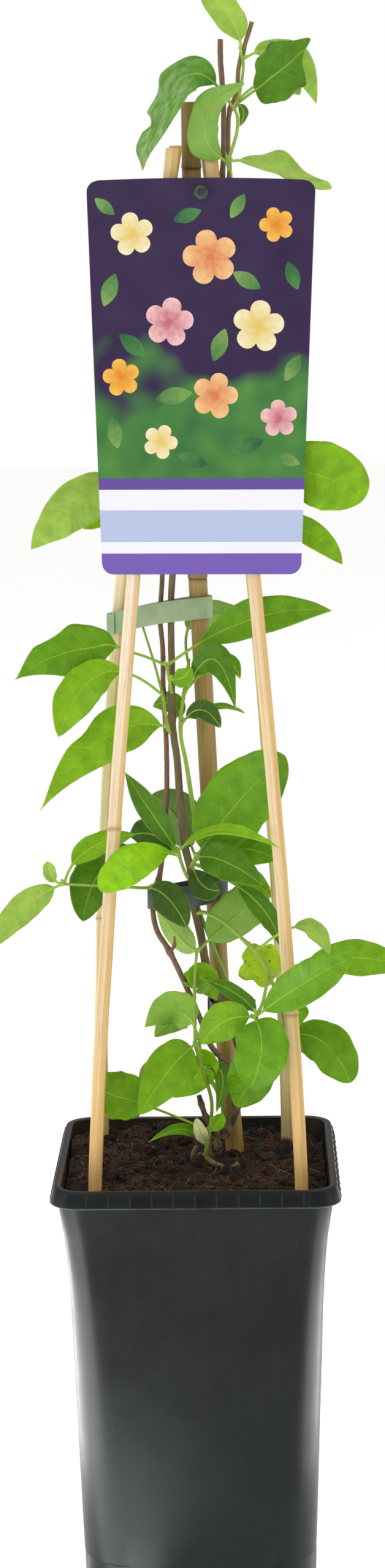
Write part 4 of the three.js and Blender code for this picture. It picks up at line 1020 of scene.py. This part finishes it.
STEMS = {
    # each stem: its radius at the two ends, then points along it
    "shoot_top_front": [(
        1.1, 0.8, (19, 12, 635), (20, 6, 638), (19, -1, 644), (21, -2, 650), (23, -3, 657), (23, -3, 664),
        (20, -3, 669), (18, -4, 672),
    )],
    "shoot_top_back": [(0.9, 0.7, (22, 9, 667), (23, 5, 669), (25, 3, 677), (26, 4, 686), (25, 4, 691))],
    "shoot_label_high": [(1.1, 0.8, (12, 1, 565), (8, 2, 572), (8, 2, 589), (9, 5, 604), (8, 8, 612))],
    "shoot_label_low": [(1.2, 0.9, (-10, 13, 468), (-10, 9, 475), (-12, 4, 509), (-9, 6, 530))],
    "shoot_upper": [(1, 0.9, (-9, 9, 408), (-10, 5, 415), (-11, 5, 421))],
    "shoot_upper_mid": [
        (1, 0.9, (-10, 8, 390), (-11, 4, 393), (-13, 7, 407)),
        (0.8, 0.6, (-12, 7, 403), (-17, 10, 422), (-23, 16, 441)),
    ],
    "shoot_middle_right": [(
        1.5, 0.8, (1, 10, 347), (-3, 6, 377), (-5, 5, 388), (-5, 7, 397), (-1, 10, 423),
    )],
    "shoot_cluster_left": [(1.1, 0.9, (-2, 7, 322), (-4, 4, 326), (-6, 3, 332), (-7, 2, 336))],
    "shoot_cluster_right": [(1.1, 0.9, (-2, 7, 327), (0, 4, 331), (1, 3, 333))],
    "shoot_side_left": [(1, 0.7, (-17, 9, 321), (-20, 0, 320), (-33, -8, 322), (-58, -16, 325))],
    "shoot_hanging": [
        (
            1.2, 0.9, (1, 7, 306), (4, 1, 308), (12, -6, 306), (23, -16, 298), (29, -22, 293),
            (34, -25, 284), (37, -22, 275), (40, -14, 264), (41, -8, 252),
        ),
        (0.9, 1, (33, -25, 285), (32, -30, 278), (30, -31, 271), (27, -30, 266)),
    ],
    "shoot_low_left": [(
        1.2, 0.8, (5, 8, 192), (6, 7, 204), (7, 6, 217), (3, -1, 235), (0, -6, 248), (0, -8, 261),
        (0, -6, 278), (1, -3, 290),
    )],
    "shoot_low_back": [(
        1.4, 0.9, (12, 11, 201), (12, 12, 206), (12, 13, 213), (10, 14, 219), (3, 24, 230), (1, 30, 240),
    )],
    "shoot_base": [(1.2, 0.8, (3, 8, 190), (4, 1, 194), (5, 0, 201), (6, 0, 205))],
}
LEAVES = {
    # root, middle and tip, width, facing, share of petiole, swell of the base, taper of the tip, tone,
    # then nudges, each with x and z of its place, push along x and z, and reach
    "shoot_top_front": {
        "arch": (
            (18, -4, 672), (-2, -10, 679), (-18, -18, 640), 18, "front", 0.1, 0.7, 0.9, "dewy",
            (-16, 673, 4, 0, 9), (-18, 660, 5.5, 1, 2.5), (-19, 649, -2.4, 0, 5), (-4, 690, 0, -2.5, 10),
        ),
        "pale_fold": (
            (19, -1, 644), (10, -10, 660), (27, -10, 677), 21, "back", 0.05, 0.6, 0.9, "mid",
            (20, 666, -3.8, 0, 9), (20, 655, -3.8, 0, 9), (-1, 661, 2.8, 0, 9),
        ),
        "droop_right": (
            (19, -1, 644), (40, -1, 643), (64, -3, 632), 17, "half", 0.12, 0.9, 0.7, "soft",
            (52, 648, 0, -5.5, 8), (59, 642, 0, -4.5, 7), (35, 649, 0, -2.3, 8), (47, 650, 0, 2.5, 2.6),
        ),
    },
    "shoot_top_back": {
        "crown": ((25, 4, 691), (20, 2, 706), (4, -3, 721), 14, "front", 0.16, 0.8, 0.9, "soft"),
        "broad": (
            (23, 5, 670), (39, -4, 680), (52, -10, 689), 27, "front", 0.24, 0.4, 0.3, "deep",
            (42, 697, 0, -2.2, 8), (51, 692, 3, 3, 4), (56, 683, -3, 0, 8), (36, 670, -1, -1, 4),
            (28, 682, 3, -0.5, 4.5), (32, 693, 2.4, -1.6, 4), (52, 695, 3.2, 1.4, 3), (50, 671, 1.6, 2, 4),
        ),
        "hook": (
            (26, 4, 687), (45, 8, 691), (58, 10, 669), 14, "front", 0.12, 0.7, 0.9, "soft",
            (43, 699, 0, -2.6, 9),
        ),
        "small": ((23, 5, 670), (26, 1, 665), (24, -1, 659), 4, "front", 0.1, 0.6, 0.9, "deep"),
        "behind": ((23, 5, 671), (40, 22, 681), (51, 30, 674), 14, "back", 0.2, 0.6, 0.8, "mid"),
    },
    "shoot_label_high": {
        "tip_left": ((8, 2, 576), (-19, 5, 582), (-42, -2, 579), 13, "front", 0.1, 0.7, 0.9, "mid"),
        "back_right": ((8, 2, 576), (30, 14, 588), (45, 24, 585), 17, "back", 0.3, 0.7, 0.8, "mid"),
        "back_top_left": ((8, 3, 598), (-14, 4, 604), (-32, 16, 592), 16, "front", 0.45, 0.7, 0.8, "mid"),
        "back_top_right": ((9, 5, 604), (27, 18, 608), (44, 32, 598), 18, "back", 0.3, 0.7, 0.8, "mid"),
    },
    "shoot_label_low": {
        "long_left": ((-12, 4, 509), (-44, -6, 498), (-70, -14, 476), 21, "front", 0.18, 0.8, 0.9, "soft"),
        "lobe_left": ((-12, 4, 506), (-31, 10, 493), (-48, 10, 483), 12, "front", 0.15, 0.6, 0.8, "bright"),
        "broad_right": (
            (-11, 4, 507), (44, -6, 510), (76, -12, 495), 30, "front", 0.4, 0.55, 0.5, "bright",
        ),
        "low_right": ((-11, 7, 492), (39, 4, 487), (68, -4, 467), 12, "front", 0.3, 0.8, 0.8, "bright"),
        "bulge_left": ((-9, 6, 528), (-25, 0, 541), (-40, -3, 539), 14, "front", 0.1, 0.7, 0.8, "mid"),
        "back_right": ((-9, 6, 528), (12, 34, 543), (32, 42, 537), 18, "back", 0.3, 0.7, 0.8, "mid"),
        "back_left": ((-10, 9, 476), (-10, 34, 490), (-26, 42, 478), 18, "back", 0.3, 0.7, 0.8, "deep"),
    },
    "shoot_upper": {
        "long_left": (
            (-11, 5, 421), (-47, -2, 430), (-79, -10, 417), 24, "front", 0.3, 1.1, 1.5, "mid",
            (-64, 441, 1, -3.4, 8), (-36, 434, 0, 3, 6),
        ),
        "long_right": ((-10, 5, 421), (26, -2, 442), (63, -12, 447), 17, "front", 0.2, 0.8, 1, "mid"),
        "peep": ((-10, 6, 416), (-4, 1, 416), (0, 0, 421), 9, "front", 0.1, 0.7, 0.8, "fresh"),
    },
    "shoot_upper_mid": {
        "hang_left": ((-13, 7, 407), (-40, -5, 419), (-59, -22, 393), 19, "front", 0.3, 1.1, 0.8, "bright"),
        "sweep_left": (
            (-11, 4, 393), (-39, -6, 390), (-68, -18, 359), 23, "front", 0.05, 1, 1.4, "bright",
            (-52, 396, 2, -3, 9),
        ),
    },
    "shoot_middle_right": {
        "fold_right": ((-4, 8, 406), (10, -6, 425), (20, -14, 403), 14, "front", 0.16, 0.8, 1.2, "deep"),
        "behind_fold": ((-4, 8, 409), (13, 4, 423), (22, 2, 415), 8, "front", 0.25, 0.7, 0.9, "mid"),
        "oval_right": ((-5, 5, 393), (4, -4, 402), (13, -12, 395), 9, "front", 0.16, 0.7, 0.7, "shade"),
        "edge_right": ((-5, 5, 395), (10, 4, 402), (24, -2, 400), 5, "sky", 0.3, 0.7, 1, "mid"),
        "peep_left": ((-5, 6, 396), (-9, 17, 402), (-18, 22, 400), 10, "front", 0.08, 0.7, 0.8, "mid"),
        "back_spread": ((-2, 10, 420), (3, 34, 440), (32, 46, 434), 13, "back", 0.3, 0.7, 0.8, "mid"),
    },
    "shoot_cluster_left": {
        "bright_left": (
            (-8, 2, 336), (-24, -34, 339), (-40, -48, 328), 17, "front", 0.1, 0.9, 0.6, "young",
        ),
        "rising_left": ((-8, 2, 336), (-18, -8, 355), (-30, -12, 375), 11, "front", 0.06, 0.9, 1, "deep"),
        "dark_left": ((-7, 3, 334), (-37, 2, 332), (-50, -12, 307), 22, "front", 0.28, 0.8, 0.7, "deep"),
        "shade_left": ((-7, 4, 335), (-18, 6, 343), (-29, 9, 342), 15, "front", 0.1, 0.7, 0.8, "shade"),
        "long_arch": ((-7, 2, 336), (13, -16, 349), (39, -40, 345), 7, "half", 0.08, 0.7, 1.1, "bright"),
    },
    "shoot_cluster_right": {
        "great_right": ((1, 4, 333), (20, -4, 359), (42, -14, 382), 32, "front", 0.08, 0.6, 0.55, "mid"),
        "wavy_right": ((1, 4, 332), (20, 3, 337), (38, -4, 333), 16, "front", 0.08, 0.7, 0.7, "mid"),
        "low_dark": ((1, 3, 333), (14, -12, 334), (31, -22, 325), 17, "front", 0.08, 0.7, 0.8, "deep"),
        "under_right": ((0, 5, 330), (22, 1, 325), (35, -2, 315), 10, "front", 0.25, 0.7, 0.9, "bright"),
        "back_high": ((1, 3, 333), (-8, 20, 349), (-19, 24, 359), 21, "back", 0.12, 0.7, 0.8, "shade"),
        "shadow": ((-1, 5, 329), (4, -6, 322), (12, -14, 321), 12, "front", 0.1, 0.7, 0.6, "shade"),
        "hang_dark": ((1, 4, 329), (27, -8, 316), (39, -14, 295), 10, "front", 0.35, 0.7, 1, "deep"),
    },
    "shoot_side_left": {
        "very_dark": ((-19, 0, 320), (-11, -14, 317), (-3, -22, 306), 15, "front", 0.06, 0.7, 0.7, "shade"),
        "curl_up": ((-58, -16, 325), (-48, -9, 339), (-26, -2, 345), 11, "front", 0.26, 0.7, 0.9, "bright"),
        "spoon": ((-58, -16, 325), (-63, -18, 328), (-65, -20, 336), 6, "front", 0.35, 0.7, 0.5, "soft"),
        "far_left": (
            (-58, -16, 325), (-75, -22, 316), (-95, -30, 295), 13, "front", 0.14, 0.7, 0.9, "soft",
        ),
    },
    "shoot_hanging": {
        "torn": (
            (24, -17, 298), (29, -14, 288), (31, -13, 276), 21, "front", 0.04, 0.5, 0.5, "yellow",
            (21, 288, 2.6, 0, 2.6), (26, 278, 1, 2.4, 2.6), (31, 298, 0, -2.6, 3), (37, 281, -2, 1, 3),
        ),
        "arch_right": ((28, -21, 294), (49, -13, 304), (61, -18, 292), 9, "half", 0.4, 0.7, 0.8, "soft"),
        "far_right": ((34, -24, 284), (65, -12, 289), (97, -14, 285), 16, "front", 0.28, 0.8, 0.8, "fresh"),
        "front_right": ((27, -30, 266), (48, -52, 286), (70, -60, 300), 18, "front", 0.1, 0.8, 0.8, "mid"),
        "front_broad": (
            (27, -30, 266), (30, -44, 255), (25, -40, 236), 24, "front", 0.06, 0.55, 0.6, "mid",
        ),
        "under_broad": ((28, -30, 267), (27, -28, 244), (18, -22, 223), 21, "front", 0.12, 0.7, 0.7, "mid"),
        "front_left": ((27, -30, 266), (14, -32, 265), (3, -26, 253), 17, "front", 0.08, 0.7, 0.8, "fresh"),
        "strap_left": ((28, -30, 267), (19, -22, 275), (5, -12, 279), 8, "half", 0.05, 0.7, 0.9, "deep"),
        "broad_right": ((41, -8, 253), (58, -16, 251), (70, -24, 234), 20, "front", 0.14, 0.55, 0.5, "mid"),
        "back_right": ((41, -10, 257), (45, 0, 260), (52, 2, 260), 11, "front", 0.06, 0.7, 0.6, "bright"),
        "behind": ((40, -14, 263), (46, 20, 248), (58, 28, 232), 15, "back", 0.3, 0.7, 0.8, "mid"),
    },
    "shoot_low_left": {
        "rising": ((1, -3, 290), (-7, 0, 297), (-17, 3, 309), 12, "back", 0.06, 0.7, 0.9, "soft"),
        "pale_broad": ((2, -3, 290), (16, 4, 303), (34, 5, 316), 23, "back", 0.2, 0.7, 0.7, "fresh"),
        "pale_left": ((0, -7, 258), (-10, -2, 263), (-23, -10, 257), 19, "back", 0.05, 0.6, 1, "young"),
        "broad_left": (
            (0, -6, 248), (-12, -20, 239), (-25, -32, 222), 21, "front", 0.08, 0.6, 0.8, "fresh",
        ),
        "lime_back": ((1, -5, 247), (2, 3, 234), (-12, 6, 220), 16, "front", 0.06, 0.7, 0.8, "young"),
        "back_up": ((0, -7, 272), (3, 2, 277), (10, 4, 266), 14, "front", 0.06, 0.7, 0.8, "bright"),
        "back_flap": ((0, -7, 272), (-2, 0, 277), (-5, 4, 272), 8, "front", 0.06, 0.7, 0.8, "mid"),
        "narrow_dark": ((4, -1, 235), (12, 1, 232), (9, -4, 215), 8, "front", 0.1, 0.7, 0.9, "deep"),
    },
    "shoot_low_back": {
        "back_left": ((7, 18, 224), (-14, 34, 226), (-25, 42, 210), 16, "back", 0.25, 0.7, 0.7, "fresh"),
        "back_right": ((3, 24, 230), (22, 40, 236), (34, 48, 216), 18, "back", 0.3, 0.7, 0.7, "mid"),
        "back_up": ((1, 30, 240), (-6, 36, 250), (-20, 40, 240), 14, "back", 0.3, 0.7, 0.8, "young"),
    },
    "shoot_base": {
        "low_left": (
            (6, 0, 204), (-25, -13, 222), (-44, -22, 229), 24, "front", 0.48, 0.5, 0.7, "fresh",
            (-41, 234, -2, 4, 5), (-34, 213, 0, 3, 5), (-24, 214, 2, -2, 4),
        ),
        "blade_left": ((4, 0, 197), (-6, -4, 207), (-22, -11, 203), 6, "half", 0.06, 0.9, 1.1, "mid"),
        "pale_young": ((5, 0, 199), (2, -4, 205), (0, -3, 212), 6, "front", 0.05, 0.6, 0.6, "pale"),
        "tiny": ((6, 0, 204), (9, 1, 208), (12, 1, 213), 7, "front", 0.1, 0.7, 0.6, "young"),
    },
}

# Leaf, upper face: a waxy cuticle with a soft shine. A bright sunk midrib, side veins every 7 mm that
# arch to the tip, a fine net between them, and the odd brown scar.
cuticle, *upper_nodes = start_material("honeysuckle_leaf_upper", Roughness=0.38, Specular_IOR_Level=0.22)
# Leaf, underside: greyer and matt with a bloom, its veins standing proud.
bloomed, *under_nodes = start_material("honeysuckle_leaf_underside", Roughness=0.65, Specular_IOR_Level=0.3)
VEIN_PITCH = 7.0
for (node, shader), upper in ((upper_nodes, True), (under_nodes, False)):
    spot = node("SeparateXYZ", node("Attribute", attribute_name="blade").outputs["Vector"]).outputs
    tone = node("Attribute", attribute_name="tone").outputs
    side = node("Math", spot["X"], operation="ABSOLUTE")
    flat = node("CombineXYZ", spot["X"], spot["Y"], 0.0)
    # side veins, which start in turn left and right, stray a little and fade at the margin
    stray = node("MapRange", node("TexNoise", flat, 1 / 5, 1), 0.2, 0.8, -1.0, 1.0)
    rise = node("Math", side, -0.8, spot["Y"], operation="MULTIPLY_ADD")
    rise = node("Math", rise, stray)
    left = node("Math", spot["X"], 0.0, operation="LESS_THAN")
    rise = node("Math", left, 0.45 * VEIN_PITCH, rise, operation="MULTIPLY_ADD")
    near = node("Math", rise, VEIN_PITCH / 2, operation="PINGPONG")
    lateral = node("MapRange", near, 0.02, 0.32, 1, 0, interpolation_type="SMOOTHSTEP")
    valley = node("MapRange", near, 0, 1.6, 1, 0, interpolation_type="SMOOTHSTEP")
    valley = node("Math", valley, 0.5, operation="MULTIPLY")
    edge = node("Math", spot["Z"], side, operation="SUBTRACT")
    lateral = node("Math", lateral, node("MapRange", edge, 0.3, 3.5), operation="MULTIPLY")
    midrib = node("MapRange", side, 0.12, 0.42, 1, 0, interpolation_type="SMOOTHSTEP")
    net = node("TexVoronoi", flat, 1 / 1.7, feature="DISTANCE_TO_EDGE")
    net = node("MapRange", net, 0.02, 0.12, 1, 0)
    mottle = node("TexNoise", flat, 1 / 11, 4, 0.6)
    lift = node("MapRange", mottle, 0.28, 0.72, 0.66, 1.3)
    body = node("VectorMath", tone["Color"], lift, operation="SCALE")
    # young cells stay yellower in clouds, and light runs in the net, the veins and the margin
    yellow = node("VectorMath", tone["Color"], (1.35, 1.12, 0.9), operation="MULTIPLY")
    body = coats(node, body, (node("TexNoise", flat, 1 / 16, 2), 0.45, 0.7, 0, 0.45, yellow))
    if not upper:
        body = node("Mix", 0.5, body, "#93B665")
    light = node("Mix", 0.65, tone["Color"], "#CBEA5E")
    fading = node("MapRange", spot["Y"], 0, 45, 1.0, 0.35)
    # painted sheen: a whitish painted reflection, drawn out along the blade
    painted_sheen = node("TexNoise", node("Mapping", Vector=flat, Scale=(1 / 2.6, 1 / 9, 1)), 1, 5, 0.7)
    painted_sheen = node("MapRange", painted_sheen, 0.4, 0.66, 0.05, 0.6)
    painted_sheen_share = node("Attribute", attribute_name="painted_sheen").outputs["Fac"]
    # scars: brown blots with a darker heart, more of them on an old leaf
    limit = node("MapRange", tone["Alpha"], 0, 1, 0.85, 0.6)
    scar = node("Math", node("TexNoise", flat, 1 / 3.2, 4, 0.65), limit, operation="SUBTRACT")
    body = coats(
        node, body,
        (node("Math", net, 0.06 if upper else 0.12, operation="MULTIPLY"), light),
        (node("Math", lateral, 0.16 if upper else 0.32, operation="MULTIPLY"), light),
        (edge, 0.05, 0.4, 0.2, 0, light),
        (node("Math", midrib, fading, operation="MULTIPLY"), light),
        (node("Math", painted_sheen, painted_sheen_share, operation="MULTIPLY"), "#BCD6A0"),
        (scar, 0, 0.03, 0, 0.9, "#5A3D1C"),
    )
    feed(shader, "Base Color", body)
    # veins are sunk above and proud below
    relief = node("Math", lateral, 0.4, valley, operation="MULTIPLY_ADD")
    relief = node("Math", midrib, relief, operation="MAXIMUM")
    relief = node("Math", net, 0.2, relief, operation="MULTIPLY_ADD")
    feed(shader, "Normal", node("Bump", 0.7, 0.00035, Height=relief, invert=upper))
    matt = (0.3, 0.5) if upper else (0.55, 0.7)
    feed(shader, "Roughness", node("MapRange", mottle, 0.3, 0.7, *matt))

# Petiole and young stem: tender and smooth, pale green or the tint of its leaf, faintly mottled.
tender, node, shader = start_material("tender_stem_skin", Roughness=0.45)
fibres = node("TexNoise", node("TexCoord").outputs["Object"], 1000 / 1.5, 3)
lift = node("MapRange", fibres, 0.3, 0.7, 0.85, 1.15)
own = node("Attribute", attribute_name="tone").outputs["Color"]
feed(shader, "Base Color", node("VectorMath", own, lift, operation="SCALE"))
feed(shader, "Normal", node("Bump", 0.3, 0.0002, Height=fibres))


def leaf_half(t, base, taper):
    """Half the blade's width at t of its length, as a share of the widest."""
    widest = base / (base + taper)
    return (t / widest) ** base * ((1 - t) / (1 - widest)) ** taper


def nudged(point, nudges):
    """A point of a leaf, carried along by each nudge near it: x and z of its place, push and reach."""
    for x, z, push_x, push_z, reach in nudges:
        near = exp(-((point.x - x) ** 2 + (point.z - z) ** 2) / reach**2)
        point = point + Vector((push_x, 0, push_z)) * near
    return point


def along_spine(root, middle, tip, s):
    """A place on the leaf's arching spine, and the way it runs there."""
    control = 2 * middle - (root + tip) / 2
    place = root * (1 - s) ** 2 + control * 2 * s * (1 - s) + tip * s * s
    return place, ((control - root) * (1 - s) + (tip - control) * s).normalized()


for count, (name, leaves) in enumerate(LEAVES.items()):
    blades, stalks = bmesh.new(), bmesh.new()
    blade_of = blades.verts.layers.float_vector.new("blade")
    tone_of = blades.verts.layers.float_color.new("tone")
    painted_sheen_of = blades.verts.layers.float.new("painted_sheen")
    stalk_tone = stalks.verts.layers.float_color.new("tone")
    joints = [Vector(leaf[0]) for leaf in leaves.values()]
    stem_spots = []
    for thick, thin, *points in STEMS[name]:
        line = through(points, 2)
        stem_spots += line
        radii = []
        for i, spot in enumerate(line):
            swell = max(0.3 * exp(-((spot - joint).length_squared) / 4) for joint in joints)
            radii.append(0.82 * (thick + (thin - thick) * i / (len(line) - 1)) * (1 + swell))
        rod(stalks, line, radii, 10)
    for point in stalks.verts:
        point[stalk_tone] = linear("#93AE3C")
    for order, leaf in enumerate(leaves.values()):
        root, middle, tip, width, facing, petiole, base, taper, tone, *nudges = leaf
        root = min(stem_spots, key=lambda spot: (spot - Vector(root)).length)
        middle, tip, facing = Vector(middle), Vector(tip), Vector(FACING[facing])
        phase = count + 2.4 * order
        colour, scarred = linear(LEAF_TONES[tone][0]), LEAF_TONES[tone][1]
        steps = [i / SPINE_STEPS for i in range(SPINE_STEPS + 1)]
        spine = [along_spine(root, middle, tip, step)[0] for step in steps]
        length = sum((b - a).length for a, b in zip(spine, spine[1:])) * (1 - petiole)
        sheet = bmesh.ops.create_grid(
            blades, x_segments=LEAF_COLUMNS, y_segments=LEAF_ROWS, size=1
        )["verts"]
        for point in sheet:
            side, t = point.co.x, 0.5 - 0.5 * cos(pi * (point.co.y + 1) / 2)
            here, ahead = along_spine(root, middle, tip, petiole + (1 - petiole) * t)
            across = ahead.cross(facing).normalized()
            up = across.cross(ahead)
            share = leaf_half(t, base, taper)
            # the outline strays in two sizes, each half of the leaf by itself
            ragged = 1 + 0.11 * noise.noise(Vector((3.2 * t, copysign(4, side), 5 * phase)))
            ragged += 0.07 * noise.noise(Vector((8.5 * t, copysign(7, side), 3 * phase)))
            half = max(width / 2 * share * ragged, PETIOLE_RADIUS * 0.9 if t < 0.3 else 0.12)
            # the blade folds up from the midrib, its margin waves, and it buckles between veins
            ripple = sin(2.2 * pi * t + phase + (1 if side > 0 else -1)) * abs(side) ** 1.6
            flutter = 0.3 * sin(5.2 * pi * t + 2 * phase + 3 * side) * abs(side) ** 3
            buckle = noise.noise(Vector((side * half / 7, t * length / 8, 3 * phase)))
            lift = LEAF_FOLD * half * abs(side) ** 1.25
            lift += (LEAF_WAVE * (ripple + flutter) + LEAF_BUCKLE * buckle) * width * share
            point.co = nudged(here + across * side * half + up * lift, nudges)
            point[blade_of] = (side * half, t * length, half)
            point[tone_of] = (*colour[:3], scarred)
            # painted sheen on the one glossy leaf, growing towards its tip
            point[painted_sheen_of] = min(1, 1.7 * t) if tone == "dewy" else 0
        # petiole, then the midrib as a ridge under the blade
        path, radii = [], []
        for i in range(MIDRIB_POINTS):
            s = i / (MIDRIB_POINTS - 1) * MIDRIB_END
            here, ahead = along_spine(root, middle, tip, s)
            up = ahead.cross(facing).normalized().cross(ahead)
            run = max(0, (s - petiole) / (1 - petiole))
            path.append(nudged(here - up * min(MIDRIB_SINK, 1.2 * run), nudges))
            radii.append(0.85 * PETIOLE_RADIUS * (1 - 0.85 * run**0.6))
        for point in rod(stalks, path, radii, 8):
            point[stalk_tone] = [a * 0.5 + b * 0.5 for a, b in zip(colour, linear("#A9CF45"))]
        # a bud in the leaf's axil
        bud = bmesh.ops.create_icosphere(stalks, subdivisions=2, radius=0.8)["verts"]
        for point in bud:
            point.co.z *= 1.6
            point[stalk_tone] = linear("#9DBB4C")
        aim = (middle - root).normalized()
        turn = Vector((0, 0, 1)).rotation_difference((aim + Vector((0, 0, 1.2))).normalized())
        bmesh.ops.rotate(stalks, matrix=turn.to_matrix(), verts=bud)
        bmesh.ops.translate(stalks, vec=root + aim * 0.9 + Vector((0, 0, 0.9)), verts=bud)
    sheets = into_scene(
        name + "_leaves", blades, cuticle, bloomed, sharp=180, slot="leaf", replaces=[name], closed=False
    )
    skin = sheets.modifiers.new("blade_thickness", "SOLIDIFY")
    skin.thickness = LEAF_THICK / 1000
    skin.offset = 0
    skin.material_offset = 1
    into_scene(name + "_stalks", stalks, tender, sharp=60, slot="leaf", replaces=[name])
